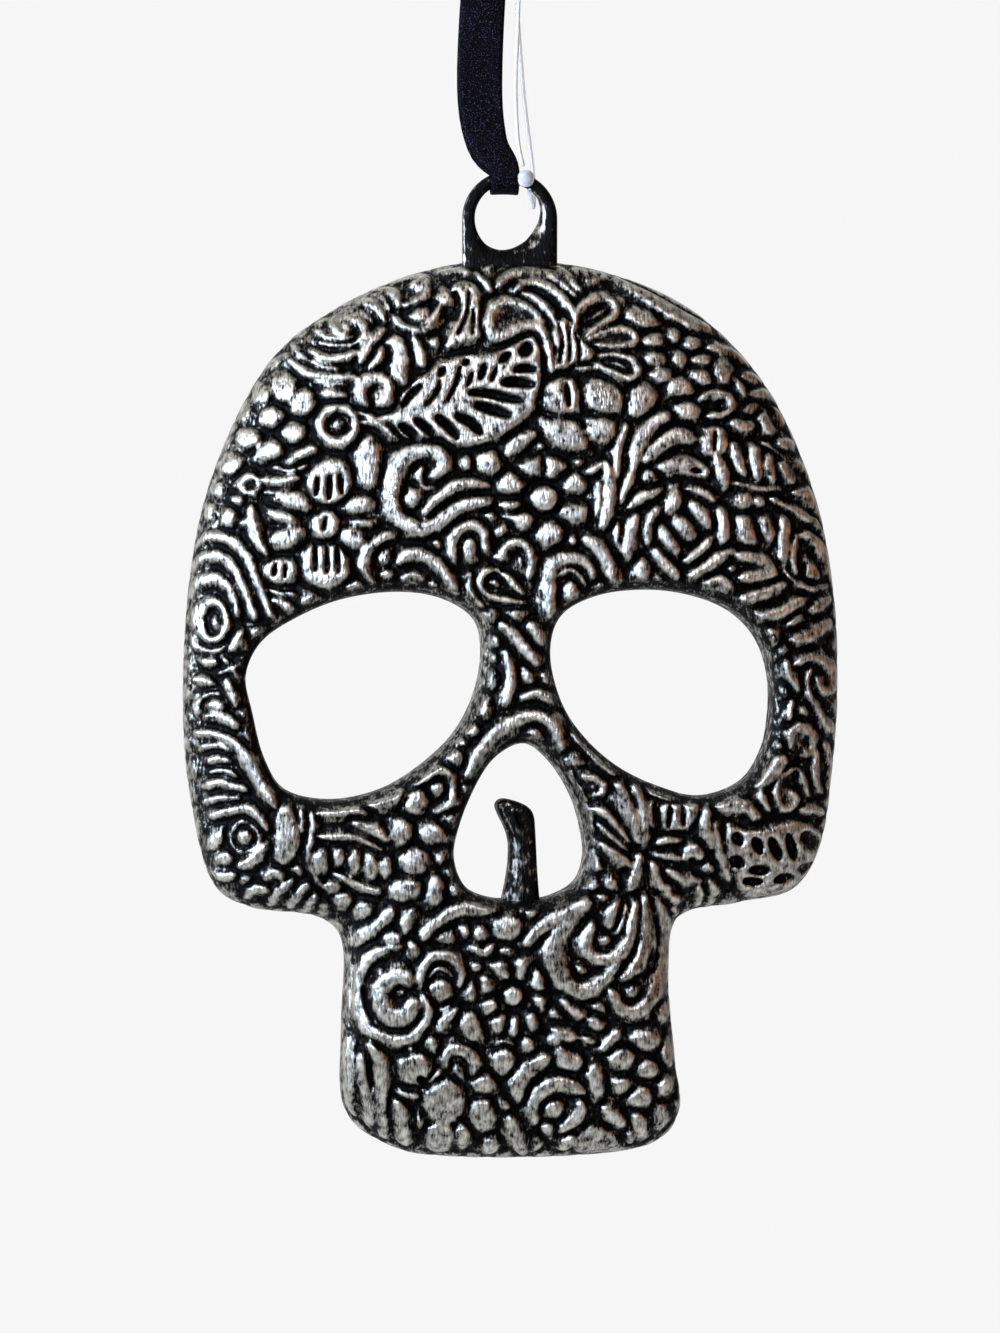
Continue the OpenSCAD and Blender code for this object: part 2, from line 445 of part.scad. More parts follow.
right_ridges_share = [[1, [[30.8, 54.6], [33, 55.8], [35.2, 54.4], [35.2, 52.2], [33.8, 52.9]]],
    [0.9, [[32.4, 53.4], [32.9, 51], [34.6, 48.6], [35.6, 46.4]]],
    [1.2, [[30.8, 45.9], [30.8, 47.8], [32.5, 47.9], [33.1, 46], [32, 45]]],
    [1.2, [[33.8, 43.9], [33.7, 42.2], [34.3, 40.8]]],
    [0.9, [[31.8, 43.4], [29.3, 42.4], [28.9, 40.4], [30.2, 39], [31.2, 40]]],
    [1.3, [[27.1, 39.8], [27.4, 41.8], [28.8, 43.6]]], [1.1, [[23.2, 38.7], [25.4, 39.2]]],
    [1.5, [[20.9, 38.4], [21.4, 35.2], [22.6, 32.2], [23.4, 30.6]]], [1.2, [[15.3, 39.3], [15.4, 37.3]]],
    [1.4, [[17.2, 39.3], [17, 37.3]]], [1.3, [[19.1, 39.2], [18.7, 37.5]]],
    [1.2, [[15.4, 34], [17.6, 33.7], [19.9, 34]]], [1, [[16.6, 32.1], [18.4, 31.1], [20.3, 30.7]]],
    [1.1, [[15, 33], [15.5, 30.6], [17.2, 28.7]]],
    [1.6, [[11.4, 41.3], [13.3, 38], [13.7, 34.2], [13.2, 31.8]]],
    [1.1, [[8.6, 39], [10.4, 37.6], [12, 35.3]]], [1.1, [[9.3, 35], [11, 34], [12.3, 32.4]]],
    [1.3, [[24.8, 29.7], [26.8, 29.1], [29.2, 29.5]]], [1, [[25.2, 31.6], [26.8, 32.2], [28.4, 31.3]]]];
right_beads_share = [[8.2, 41.5, 0.9, 0.7, 0], [9.3, 32, 0.7, 1, 0], [26, 37.9, 1.1, 0.7, 0],
    [31.4, 52.9, 0.5, 1, 10]];
right_leaves_share = [[[23.4, 35.3], [34.4, 35], 2, 0.9, 4]];
jaw_ridges_share = [[1.3, [[-11.1, 20.6], [-10.5, 22.4], [-8.5, 23.2], [-6.7, 22.3], [-6.2, 20.2]]],
    [1.1, [[-9.2, 14.8], [-7.2, 16.8]]], [1, [[-10.2, 25.1], [-8.8, 26.8], [-6.4, 27.3]]],
    [1, [[-5.2, 23.9], [-3.9, 23.2], [-2.7, 24]]], [1.5, [[0.7, 24.1], [2.6, 25.6], [4.8, 27]]],
    [1.5, [[-17.3, 26], [-15, 26.4]]], [1.1, [[-18, 23.6], [-16.4, 24.3]]],
    [1.2, [[-13.2, 24.8], [-12, 27.4]]], [1, [[-18.4, 13.2], [-18.2, 8.6], [-17.5, 5.4]]],
    [1.7, [[-16.8, 12.2], [-16.1, 8.8], [-15.2, 4.2]]], [1.6, [[-13.2, 7.2], [-12.7, 4.5], [-12.1, 2]]],
    [1.2, [[-8.1, 10.2], [-7.8, 12.2], [-6.3, 12.9], [-4.9, 11.7], [-5, 10]]],
    [1.3, [[-0.4, 4.7], [0.1, 2.6], [0.8, 1.2]]], [1.5, [[0.2, 8], [0.6, 10.3], [3.4, 11.8]]],
    [1.4, [[2.1, 5.2], [2, 7.2], [3.7, 8.8], [6.4, 8.6]]], [1.2, [[7, 7], [6.2, 4.6], [3.8, 3.4]]],
    [1.4, [[3.8, 14.4], [5.8, 14.1], [7.8, 13.4]]], [1.4, [[5, 13], [5.2, 11.4], [6.6, 11]]],
    [1, [[9.4, 12.7], [10.6, 14.1], [12.2, 14.4]]], [1.2, [[13.1, 13.4], [15.8, 13.8]]],
    [1.4, [[9.7, 5.9], [11, 5], [11.9, 3.9]]], [1.1, [[5.3, 17.5], [7.1, 15.8]]],
    [1.1, [[10.1, 28], [10, 25.9]]]];
jaw_beads_share = [[-8.6, 19.2, 1.1, 1.1, 0], [-5.3, 15.2, 0.8, 1.5, 20], [-6, 25.3, 0.7, 0.6, 0],
    [-4.1, 25.2, 0.8, 0.8, 0], [-1.2, 25.9, 1.3, 0.9, 0], [-11.4, 10.6, 1.3, 1.5, 0], [-8, 7, 2, 2, 0],
    [-3.8, 8.5, 1.1, 1.1, 0], [-3.8, 5.2, 1.1, 1.4, 5], [-1.6, 11.3, 1.1, 1.1, 0], [-8.6, 2.6, 1.2, 1.2, 0],
    [-6, 2.9, 0.8, 0.9, 0], [4.1, 5.9, 0.8, 0.8, 0], [8.7, 8.8, 0.8, 1.7, 0], [11.7, 11.3, 1.2, 1, 0],
    [14.3, 10.3, 1, 0.9, 0], [13.6, 7, 1.2, 1, 0], [11.4, 8.5, 0.9, 0.8, 0], [16.7, 12.6, 0.6, 1.2, 0],
    [16.5, 8, 0.7, 1, 0], [13.7, 3.4, 0.9, 1.3, 0], [9, 15.7, 0.9, 0.6, -30], [5.8, 1.9, 1.4, 0.7, 10]];
jaw_arcs_share = [[-13, 18.8, 5, 5, 140, 399, 1, 0.88], [-13, 18.6, 2.4, 2.4, 40, 328, 1.6, 0.75]];
jaw_loops_share = [[[10.2, 27.7], [6.2, 18.4], 2.6, 1.1], [[10.8, 27.6], [12.8, 16.4], 2.6, 1.1],
    [[10.4, 28.4], [10.2, 22.4], 1.7, 1]];
jaw_daisies_share = [[-0.7, 18.5, 4, 8, 10]];

// Seats one region's relief on the plate and keeps it clear of the openings
module relief(ridges, beads, arcs = [], loops = [], leaves = [], daisies = []) {
    color(bright) difference() {
        union() {
            for (r = ridges) ridge(r[1], r[0]);
            for (b = beads) bead(b[0], b[1], b[2], b[3], b[4]);
            for (a = arcs) arc(a[0], a[1], a[2], a[3], a[4], a[5], a[6], a[7]);
            for (l = loops) loop(l[0], l[1], l[2], l[3]);
            for (l = leaves) leaf(l[0], l[1], l[2], l[3], l[4]);
            for (d = daisies) daisy(d[0], d[1], d[2], d[3], d[4]);
        }
        plate_block();
        ring_seat();
        for (p = [left_eye_share, right_eye_share, nose_share])
            upright(front_y - relief_h * 2, rim_offset) opening_profile(p, bare_edge);
    }
}

module forehead_relief() {
    relief(forehead_ridges_share, forehead_beads_share, forehead_arcs_share, forehead_loops_share,
        forehead_leaves_share, forehead_daisies_share);
}

module brow_bridge_relief() {
    relief(bridge_ridges_share, []);
}

module left_cheek_relief() {
    relief(left_ridges_share, left_beads_share, left_arcs_share, left_loops_share);
}

module right_cheek_relief() {
    relief(right_ridges_share, right_beads_share, leaves = right_leaves_share);
}

module jaw_relief() {
    relief(jaw_ridges_share, jaw_beads_share, jaw_arcs_share, jaw_loops_share, daisies = jaw_daisies_share);
}

// The ribbon's route round the bar of the ring, as [x, y, z, width], with the front strand last
front_strand = [for (p = strand_share)
    [p[0] * hang_drop / 100, -p[1] * bight_r, p[2] * hang_drop / 100, p[3] * ribbon_w]];
back_strand = [for (i = [len(front_strand) - 1 : -1 : 0]) let (p = front_strand[i])
    [p[0], -p[1], p[2], p[3]]];
bight = [for (k = [1 : bight_steps - 1]) let (a = -180 * k / bight_steps)
    [front_strand[0][0], bight_r * cos(a), bight_r * sin(a), front_strand[0][3]]];
ribbon_path = concat(back_strand, bight, front_strand);

module ribbon_loop() {
    last = len(ribbon_path) - 1;
    color(dark) translate([0, 0, bar_z]) solid([for (i = [0 : last])
        let (p = ribbon_path[i], run = ribbon_path[min(i + 1, last)] - ribbon_path[max(i - 1, 0)],
            out = unit([0, -run[2], run[1]]))
        [for (c = ribbon_section_share)
            [p[0] + c[0] * p[3] / 2, p[1], p[2]] + out * c[1] * ribbon_t / 2]]);
}

// The knot that closes the loop, and the two tails above it
module ribbon_knot() {
    color(dark) {
        translate([0, 0, knot_r * knot_middle_share]) scale(knot_shape_share) sphere(knot_r, $fn = 32);
        for (side = [-1, 1]) translate([0, side * ribbon_t, knot_r * tail_foot_share])
            rotate([0, side * tail_spread, 0]) translate([-ribbon_w / 2, -ribbon_t / 2, 0])
                cube([ribbon_w, ribbon_t, tail_l]);
    }
}

tag_line = [for (p = tag_share) p * tag_l / 100];

module tag_loop() {
    last = len(tag_line) - 1;
    color(clear) translate([0, 0, bar_z]) solid([for (i = [0 : last])
        let (along = unit(tag_line[min(i + 1, last)] - tag_line[max(i - 1, 0)]),
            side = unit(cross(along, [0.3, 1, 0.1])), up = cross(side, along))
        [for (j = [0 : tag_sides - 1]) let (a = 360 * j / tag_sides)
            tag_line[i] + (side * cos(a) - up * sin(a)) * tag_t / 2]]);
}

module tag_lock() {
    color(clear) translate(lock_share * tag_l / 100 + [0, 0, bar_z]) sphere(lock_d / 2, $fn = 32);
}

skull_plate();
nose_bone();
hanging_ring();
forehead_relief();
brow_bridge_relief();
left_cheek_relief();
right_cheek_relief();
jaw_relief();
ribbon_loop();
ribbon_knot();
tag_loop();
tag_lock();
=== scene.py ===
import bpy
import bmesh
import math
import numpy as np
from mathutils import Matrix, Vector
from mathutils.geometry import delaunay_2d_cdt

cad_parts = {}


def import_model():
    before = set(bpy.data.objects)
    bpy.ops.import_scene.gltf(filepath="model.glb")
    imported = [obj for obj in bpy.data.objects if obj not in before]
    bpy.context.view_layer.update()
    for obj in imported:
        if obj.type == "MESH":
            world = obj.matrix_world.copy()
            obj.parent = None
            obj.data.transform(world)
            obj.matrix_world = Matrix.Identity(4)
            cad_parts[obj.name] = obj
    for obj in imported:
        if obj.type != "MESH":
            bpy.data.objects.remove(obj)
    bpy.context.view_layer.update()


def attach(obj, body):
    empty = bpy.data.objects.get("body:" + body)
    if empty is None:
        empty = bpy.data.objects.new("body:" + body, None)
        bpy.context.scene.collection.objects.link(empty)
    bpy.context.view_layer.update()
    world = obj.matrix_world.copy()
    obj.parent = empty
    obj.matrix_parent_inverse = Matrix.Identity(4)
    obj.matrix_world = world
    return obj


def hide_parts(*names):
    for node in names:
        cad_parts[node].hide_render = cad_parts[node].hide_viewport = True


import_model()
mm = 0.001

# the casting in millimetres, as in the part's source; outlines are drawn in shares of its height and width
skull = {"height": 125.4, "width": 91.8, "widthShare": 73.2, "middleShare": 51.5, "depth": 11.0, "wall": 2.4,
         "side": 3.2, "rimY": 5.6, "collar": 7.0, "flat": 0.45, "domePower": 3, "domeRoot": 0.45, "step": 0.32}
barZ = -71.0  # the middle of the ring's upper bar, which the skull swings about
ringZ = -76.775  # the middle of the ring's hole
crownZ = -82.275
chinZ = crownZ - skull["height"]
unitX = skull["width"] / skull["widthShare"]
unitZ = skull["height"] / 100
midZ = chinZ + skull["middleShare"] * unitZ
frontY = skull["rimY"] - skull["depth"]
collarY = frontY + skull["collar"]


# helpers for colours, points, lines and meshes
def linear(hexColour):
    parts = [int(hexColour[i:i + 2], 16) / 255 for i in (1, 3, 5)]
    return [c / 12.92 if c <= 0.04045 else ((c + 0.055) / 1.055) ** 2.4 for c in parts] + [1.0]


def perMetre(perCentimetre):
    # a texture's scale, from how many threads, hairs or pits the real thing has in a centimetre
    return perCentimetre * 100.0


def place(points):
    # shares to millimetres, across and up
    p = np.asarray(points, float).reshape(-1, 2)
    return np.column_stack([p[:, 0] * unitX, chinZ + p[:, 1] * unitZ])


def unit(vectors):
    return vectors / np.linalg.norm(vectors, axis=1)[:, None]


def smoothLine(points, closed=False, perPoint=12):
    p = np.asarray(points, float)
    if closed:
        q = np.vstack([p[-1], p, p[0], p[1]])
    else:
        q = np.vstack([2 * p[0] - p[1], p, 2 * p[-1] - p[-2]])
    t = np.linspace(0, 1, perPoint, endpoint=False)[:, None]
    runs = []
    for i in range(1, len(q) - 2):
        a, b, c, d = q[i - 1:i + 3]
        squared, cubed = 2 * a - 5 * b + 4 * c - d, 3 * b - a - 3 * c + d
        runs.append(0.5 * (2 * b + (c - a) * t + squared * t ** 2 + cubed * t ** 3))
    if not closed:
        runs.append(q[-2][None, :])
    return np.vstack(runs)


def runLength(points):
    return np.concatenate([[0], np.cumsum(np.linalg.norm(np.diff(points, axis=0), axis=1))])


def evenSteps(line, step, closed=False):
    p = np.vstack([line, line[0]]) if closed else line
    length = runLength(p)
    n = max(3, round(length[-1] / step))
    at = np.linspace(0, length[-1], n + (0 if closed else 1), endpoint=not closed)
    return np.column_stack([np.interp(at, length, p[:, i]) for i in range(p.shape[1])])


def makeMesh(name, points, faces, material, smooth=True):
    mesh = bpy.data.meshes.new(name)
    mesh.from_pydata((np.asarray(points, float) * mm).tolist(), [], faces)
    mesh.validate()
    mesh.polygons.foreach_set("use_smooth", [smooth] * len(mesh.polygons))
    mesh.materials.append(material)
    obj = bpy.data.objects.new(name, mesh)
    bpy.context.scene.collection.objects.link(obj)
    return obj


def setWipedAndPaintedLight(mesh, values):
    # how far the black has been wiped off, point by point, together with the painted highlights on the rim,
    # the openings' walls, the ring and the bone
    wipedAndPaintedLight = mesh.attributes.new("burnish", "FLOAT", "POINT")
    wipedAndPaintedLight.data.foreach_set("value", values)


def tubeFaces(rings, sides, closed=False):
    faces = []
    for i in range(rings if closed else rings - 1):
        a, b = i * sides, (i + 1) % rings * sides
        for j in range(sides):
            k = (j + 1) % sides
            faces.append((a + j, a + k, b + k, b + j))
    if not closed:
        faces.append(tuple(range(sides)))
        faces.append(tuple((rings - 1) * sides + j for j in reversed(range(sides))))
    return faces


def addNode(tree, kind, links=None, **settings):
    node = tree.nodes.new(kind)
    for key, value in settings.items():
        if key.startswith("in_"):
            name = key[3:].replace("_", " ")
            node.inputs[int(name) if name.isdigit() else name].default_value = value
        else:
            setattr(node, key, value)
    for name, source in (links or {}).items():
        tree.links.new(source, node.inputs[name])
    return node


def newMaterial(name):
    material = bpy.data.materials.new(name)
    material.use_nodes = True
    material.node_tree.nodes.clear()
    return material, material.node_tree


# a long lens that looks from a little to the left; each lamp has a place from the aim and a size in metres, watts and
# a colour, and the floor's corners are in millimetres
studio = {
    "lens": 97.8, "aim": (-0.0024, -0.005, -0.1392), "angle": -5, "away": 0.5,
    "lamps": {"key": ((-0.28, -0.14, 0.07), 0.11, 2.6, "#c6deff"), "front": ((-0.24, -0.42, 0.38), 0.2, 1.4, "#ffeedd"),
              "fill": ((0.42, -0.26, 0.1), 0.22, 0.32, "#ffa76a")},
    "backdrop": "#f6f6f6", "room": "#b3a79c", "roomLight": 0.13,
    "toBackdrop": (-0.7, 0.6, 0.35), "dimAt": -0.5, "whiteAt": 0.75, "dimmest": 0.05,
    "paper": "#f2f2f2", "paperGlow": 0.75, "floor": [(-900, -700), (900, -700), (900, 230), (-900, 230)],
    "floorZ": -300,
}
camData = bpy.data.cameras.new("camera")
camData.lens = studio["lens"]
camera = bpy.data.objects.new("camera", camData)
aim = Vector(studio["aim"])
camAngle = math.radians(studio["angle"])
camera.location = aim + Vector((math.sin(camAngle), -math.cos(camAngle), 0)) * studio["away"]
camera.rotation_euler = (aim - camera.location).to_track_quat("-Z", "Y").to_euler()
bpy.context.scene.collection.objects.link(camera)
bpy.context.scene.camera = camera
bpy.context.scene.view_settings.view_transform = "Standard"

for name, (spot, size, power, colour) in studio["lamps"].items():
    lamp = bpy.data.lights.new(name, "AREA")
    lamp.size = size
    lamp.energy = power
    lamp.color = linear(colour)[:3]
    light = bpy.data.objects.new(name, lamp)
    light.location = aim + Vector(spot)
    light.rotation_euler = (aim - light.location).to_track_quat("-Z", "Y").to_euler()
    bpy.context.scene.collection.objects.link(light)


def seenBy(tree, rays, mirrored):
    # what the camera sees straight or through the nylon, and the share that metal mirrors
    straight = addNode(tree, "ShaderNodeMath", {0: rays["Is Camera Ray"], 1: rays["Is Transmission Ray"]},
                       operation="MAXIMUM")
    return addNode(tree, "ShaderNodeMath", {0: straight.outputs[0], 1: mirrored}, operation="MAXIMUM").outputs[0]


world = bpy.data.worlds.new("studio")
bpy.context.scene.world = world
world.use_nodes = True
wt = world.node_tree
wt.nodes.clear()
rays = addNode(wt, "ShaderNodeLightPath").outputs
# metal shows the white backdrop too, which stands to the left, behind and above; the room to the front right is dim
way = addNode(wt, "ShaderNodeTexCoord")
toBackdrop = addNode(wt, "ShaderNodeVectorMath", {0: way.outputs["Generated"]}, operation="DOT_PRODUCT",
                     in_1=studio["toBackdrop"])
shown = addNode(wt, "ShaderNodeMapRange", {"Value": toBackdrop.outputs["Value"]},
                in_1=studio["dimAt"], in_2=studio["whiteAt"], in_3=studio["dimmest"], in_4=1.0)
mirrored = addNode(wt, "ShaderNodeMath", {0: rays["Is Glossy Ray"], 1: shown.outputs[0]}, operation="MULTIPLY")
seen = seenBy(wt, rays, mirrored.outputs[0])
backdrop = addNode(wt, "ShaderNodeBackground", in_Color=linear(studio["backdrop"]), in_Strength=1.0)
room = addNode(wt, "ShaderNodeBackground", in_Color=linear(studio["room"]), in_Strength=studio["roomLight"])
mixed = addNode(wt, "ShaderNodeMixShader", {0: seen, 1: room.outputs[0], 2: backdrop.outputs[0]})
addNode(wt, "ShaderNodeOutputWorld", {"Surface": mixed.outputs[0]})

# matt paper: no shine, nearly the backdrop's white to the eye, and it still takes the object's shadow
paper, ft = newMaterial("matt paper sweep")
paperBsdf = addNode(ft, "ShaderNodeBsdfPrincipled", in_Base_Color=linear(studio["paper"]), in_Roughness=0.8)
rays = addNode(ft, "ShaderNodeLightPath").outputs
seen = seenBy(ft, rays, rays["Is Glossy Ray"])
glowing = addNode(ft, "ShaderNodeMath", {0: seen}, operation="MULTIPLY", in_1=studio["paperGlow"])
pale = addNode(ft, "ShaderNodeEmission", in_Color=linear(studio["paper"]), in_Strength=1.0)
mixed = addNode(ft, "ShaderNodeMixShader", {0: glowing.outputs[0], 1: paperBsdf.outputs[0], 2: pale.outputs[0]})
addNode(ft, "ShaderNodeOutputMaterial", {"Surface": mixed.outputs[0]})
floorPoints = [(x, y, studio["floorZ"]) for x, y in studio["floor"]]
makeMesh("floor", floorPoints, [(0, 1, 2, 3)], paper, False)
print("camera, light and floor")

# the satin ribbon in millimetres; its strand has across and up in hundredths of the drop, forward as a share of the
# bend's radius and a share of the width, from the bend to the hook
ribbon = {
    "drop": 71.0, "width": 6.0, "thick": 0.35, "bend": 2.3, "bendSteps": 8, "cup": 0.12, "ripple": 0.32,
    "selvage": 1.25, "selvageFrom": 0.9, "edge": 0.5,
    "strand": [(-1.9, 1, 0, 0.64), (-2.3, 1, 2.2, 0.65), (-5.4, 0.97, 7, 0.88), (-6.8, 0.88, 18, 1), (-5.8, 0.8, 40, 1),
               (-3.6, 0.72, 60, 1), (-1.6, 0.64, 79, 1), (-0.3, 0.58, 91, 1), (0, 0.42, 97, 0.84), (0, 0.24, 100, 0.6)],
}
front = [(x * ribbon["drop"] / 100, -y * ribbon["bend"], barZ + z * ribbon["drop"] / 100, w * ribbon["width"])
         for x, y, z, w in ribbon["strand"]]
back = [(x, -y, z, w) for x, y, z, w in reversed(front)]
turn = [(front[0][0], ribbon["bend"] * math.cos(a), barZ + ribbon["bend"] * math.sin(a), front[0][3])
        for a in (-math.pi * k / ribbon["bendSteps"] for k in range(1, ribbon["bendSteps"]))]
ribbonRoute = smoothLine(back + turn + front, perPoint=5)

# woven polyester satin: its flat threads give a nearly black face; the small violet glints on it are painted
# highlights, coloured in where the thread noise runs high. The threads are drawn 0.19 mm apart, about twice as far as
# real ones, so that they show. The cross rib, 0.03 mm apart, is too fine to be seen and only takes the mirror off
satinLook = {"threads": 52, "ribs": 95.0, "black": "#020202", "glint": "#4d4268", "glintFrom": 0.57, "glintTo": 0.76,
             "ribDepth": 0.00006, "grainDepth": 0.00004, "sheen": "#8f86b8"}
satin, st = newMaterial("black satin ribbon, woven polyester with a fine cross rib")
coords = addNode(st, "ShaderNodeTexCoord")
ribs = addNode(st, "ShaderNodeTexWave", {"Vector": coords.outputs["UV"]}, wave_type="BANDS", bands_direction="Y",
               in_Scale=satinLook["ribs"], in_Distortion=0.6, in_Detail=1.0)
threads = addNode(st, "ShaderNodeTexNoise", {"Vector": coords.outputs["Object"]},
                  in_Scale=perMetre(satinLook["threads"]), in_Detail=2.0)
# painted highlights: violet glints coloured into the black where the thread noise runs high
paintedGlints = addNode(st, "ShaderNodeValToRGB", {"Fac": threads.outputs["Fac"]})
for element, key, at in zip(paintedGlints.color_ramp.elements, ("black", "glint"), ("glintFrom", "glintTo")):
    element.position = satinLook[at]
    element.color = linear(satinLook[key])
weave = addNode(st, "ShaderNodeBump", {"Height": ribs.outputs["Fac"]}, in_Strength=0.35,
                in_Distance=satinLook["ribDepth"])
grain = addNode(st, "ShaderNodeBump", {"Height": threads.outputs["Fac"], "Normal": weave.outputs[0]}, in_Strength=0.3,
                in_Distance=satinLook["grainDepth"])
satinBsdf = addNode(st, "ShaderNodeBsdfPrincipled", {"Base Color": paintedGlints.outputs[0], "Normal": grain.outputs[0]},
                    in_Roughness=0.55, in_IOR=1.4, in_Specular_IOR_Level=0.05, in_Sheen_Weight=0.012,
                    in_Sheen_Roughness=0.4, in_Sheen_Tint=linear(satinLook["sheen"]))
addNode(st, "ShaderNodeOutputMaterial", {"Surface": satinBsdf.outputs[0]})


def bandMesh(name, route, widths, cup, steps=12):
    # a flat band with thicker woven edges, cupped a little and rippling along its run
    path = np.asarray(route, float)
    along = unit(np.gradient(path, axis=0))
    across = np.array((1.0, 0.0, 0.0))
    side = unit(across - along * (along @ across)[:, None])
    out = np.cross(side, along)
    u = np.linspace(-1, 1, steps + 1)
    selvage = np.where(np.abs(u) > ribbon["selvageFrom"], ribbon["selvage"], 1.0)
    selvage[[0, -1]] = ribbon["edge"]
    points, uv = [], []
    runs = runLength(path)
    for i, p in enumerate(path):
        bow = cup * (1 - u ** 2) * math.sin(runs[i] * ribbon["ripple"])
        for face in (1, -1):
            for j in range(steps + 1) if face > 0 else range(steps, -1, -1):
                lift = face * selvage[j] * ribbon["thick"] / 2 + bow[j]
                points.append(p + side[i] * u[j] * widths[i] / 2 + out[i] * lift)
                uv.append((u[j] * widths[i] / 2, runs[i]))
    obj = makeMesh(name, points, tubeFaces(len(path), 2 * (steps + 1)), satin)
    layer = obj.data.uv_layers.new(name="weave")
    at = np.zeros(len(obj.data.loops), np.int32)
    obj.data.loops.foreach_get("vertex_index", at)
    layer.data.foreach_set("uv", (np.asarray(uv)[at] * 0.1).ravel())  # centimetres
    return obj


ribbonPiece = bandMesh("ribbonLoop", ribbonRoute[:, :3], ribbonRoute[:, 3], ribbon["cup"])
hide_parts("ribbon_loop")

# the knot: one band wound over itself as a trefoil, and two thin tails above it
knot = {"middle": 1.3, "reach": (0.95, 1.5, 0.52), "lift": 0.45, "band": (1.25, 0.55), "points": 96, "sides": 14,
        "tail": 16.0, "tailWidth": 5.2, "tailPoints": 26, "tailFoot": 0.4, "tailCup": 0.25, "spread": 14}
t = np.linspace(0, 2 * math.pi, knot["points"], endpoint=False)
core = np.column_stack([(np.sin(t) + 2 * np.sin(2 * t)) * knot["reach"][0], np.sin(3 * t) * knot["reach"][1],
                        (np.cos(t) - 2 * np.cos(2 * t) + knot["lift"]) * knot["reach"][2]])
core[:, 2] += knot["middle"]
around = np.linspace(0, 2 * math.pi, knot["sides"], endpoint=False)
wrap = unit(np.gradient(np.vstack([core[-1], core, core[0]]), axis=0)[1:-1])
outward = core - [0, 0, knot["middle"]]
outward -= wrap * np.sum(wrap * outward, axis=1)[:, None]
outward = unit(outward)
beside = np.cross(wrap, outward)
knotPoints = [core[i] + beside[i] * math.cos(a) * knot["band"][0] + outward[i] * math.sin(a) * knot["band"][1]
              for i in range(len(core)) for a in around]
knotPiece = makeMesh("ribbonKnot", knotPoints, tubeFaces(len(core), len(around), True), satin)
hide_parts("ribbon_knot")
lean = math.radians(knot["spread"])
tailPieces = []
for side, name in ((-1, "ribbonTailLeft"), (1, "ribbonTailRight")):
    k = np.linspace(0, 1, knot["tailPoints"])
    up = knot["middle"] + knot["tailFoot"] + k * knot["tail"] * math.cos(lean)
    tailRoute = np.column_stack([side * k * knot["tail"] * 0.9 * math.sin(lean),
                                 side * (0.35 + 0.8 * np.sin(k * 4.2) * k), up])
    tailPieces.append(bandMesh(name, tailRoute, np.full(len(k), knot["tailWidth"]), knot["tailCup"]))
    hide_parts("ribbon_knot")
print("ribbon", len(ribbonRoute), "points, length", round(float(runLength(ribbonRoute[:, :3])[-1]), 1), "mm")

# the tag fastener: a nylon filament from its lock, down through the ring, up behind and back; places in hundredths of
# its length from the ring's bar, across, back and up
nylon = {
    "long": 34.4, "thick": 0.55, "sides": 10, "lock": 2.3, "lockAt": (3.8, -10.8, -1.7), "lockSides": 24,
    "route": [(5.2, -9.4, -6.1), (6.4, -6.4, -9.3), (7.6, -2.9, -11.3), (8.1, 1.2, -11.9), (8.7, 5.5, -9.9),
              (9, 8.7, -2.9), (8.1, 9.6, 8.7), (5.2, 9.3, 32), (2.9, 8.1, 58), (1.5, 6.1, 77), (1.2, 2.6, 88.4),
              (1.2, -1.5, 91.3), (1.2, -5.5, 88.4), (1.2, -8.1, 75.6), (0.6, -9.6, 58), (-0.3, -10.2, 35),
              (0.6, -10.5, 14.5), (2.7, -10.7, 3.2)],
    "lockShape": [(-1, 0.05), (-0.97, 0.42), (-0.8, 0.74), (-0.45, 0.94), (-0.12, 1), (-0.06, 0.93), (0.06, 0.93),
                  (0.12, 1), (0.45, 0.94), (0.8, 0.74), (0.97, 0.42), (1, 0.05)],
    "clouds": 9, "milky": (0.45, 0.7), "colour": "#f4f6f7",
}
# extruded nylon is clear but slightly milky, in clouds of about 1.1 mm, so the thin loop reads white on the ribbon
clearNylon, nt = newMaterial("clear nylon, extruded and slightly milky")
clouds = addNode(nt, "ShaderNodeTexNoise", in_Scale=perMetre(nylon["clouds"]), in_Detail=2.0)
clear = addNode(nt, "ShaderNodeMapRange", {"Value": clouds.outputs["Fac"]}, in_3=nylon["milky"][0],
                in_4=nylon["milky"][1])
nylonBsdf = addNode(nt, "ShaderNodeBsdfPrincipled", {"Transmission Weight": clear.outputs[0]},
                    in_Base_Color=linear(nylon["colour"]), in_Roughness=0.06, in_IOR=1.53)
addNode(nt, "ShaderNodeOutputMaterial", {"Surface": nylonBsdf.outputs[0]})


def tubeMesh(name, path, radii, sides, material):
    # the first side direction is carried along the path without twisting
    along = unit(np.gradient(path, axis=0))
    now = np.array((0.0, 1.0, 0.0))
    points = []
    for p, d, r in zip(path, along, radii):
        now = now - d * now.dot(d)
        now = now / np.linalg.norm(now)
        up = np.cross(d, now)
        points += [p + (now * math.cos(a) + up * math.sin(a)) * r
                   for a in np.linspace(0, 2 * math.pi, sides, endpoint=False)]
    return makeMesh(name, points, tubeFaces(len(path), sides), material)


nylonRoute = smoothLine([[p * nylon["long"] / 100 for p in q] for q in nylon["route"]], perPoint=6) + [0, 0, barZ]
filament = tubeMesh("tagFilament", nylonRoute, np.full(len(nylonRoute), nylon["thick"] / 2), nylon["sides"], clearNylon)
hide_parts("tag_loop")
lockMid = np.array(nylon["lockAt"]) * nylon["long"] / 100 + [0, 0, barZ]
lockHalf = nylon["lock"] / 2
lockRoute = np.array([[0, 0, z * lockHalf] for z, _ in nylon["lockShape"]]) + lockMid
lock = tubeMesh("tagLock", lockRoute, [r * lockHalf for _, r in nylon["lockShape"]], nylon["lockSides"], clearNylon)
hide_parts("tag_lock")

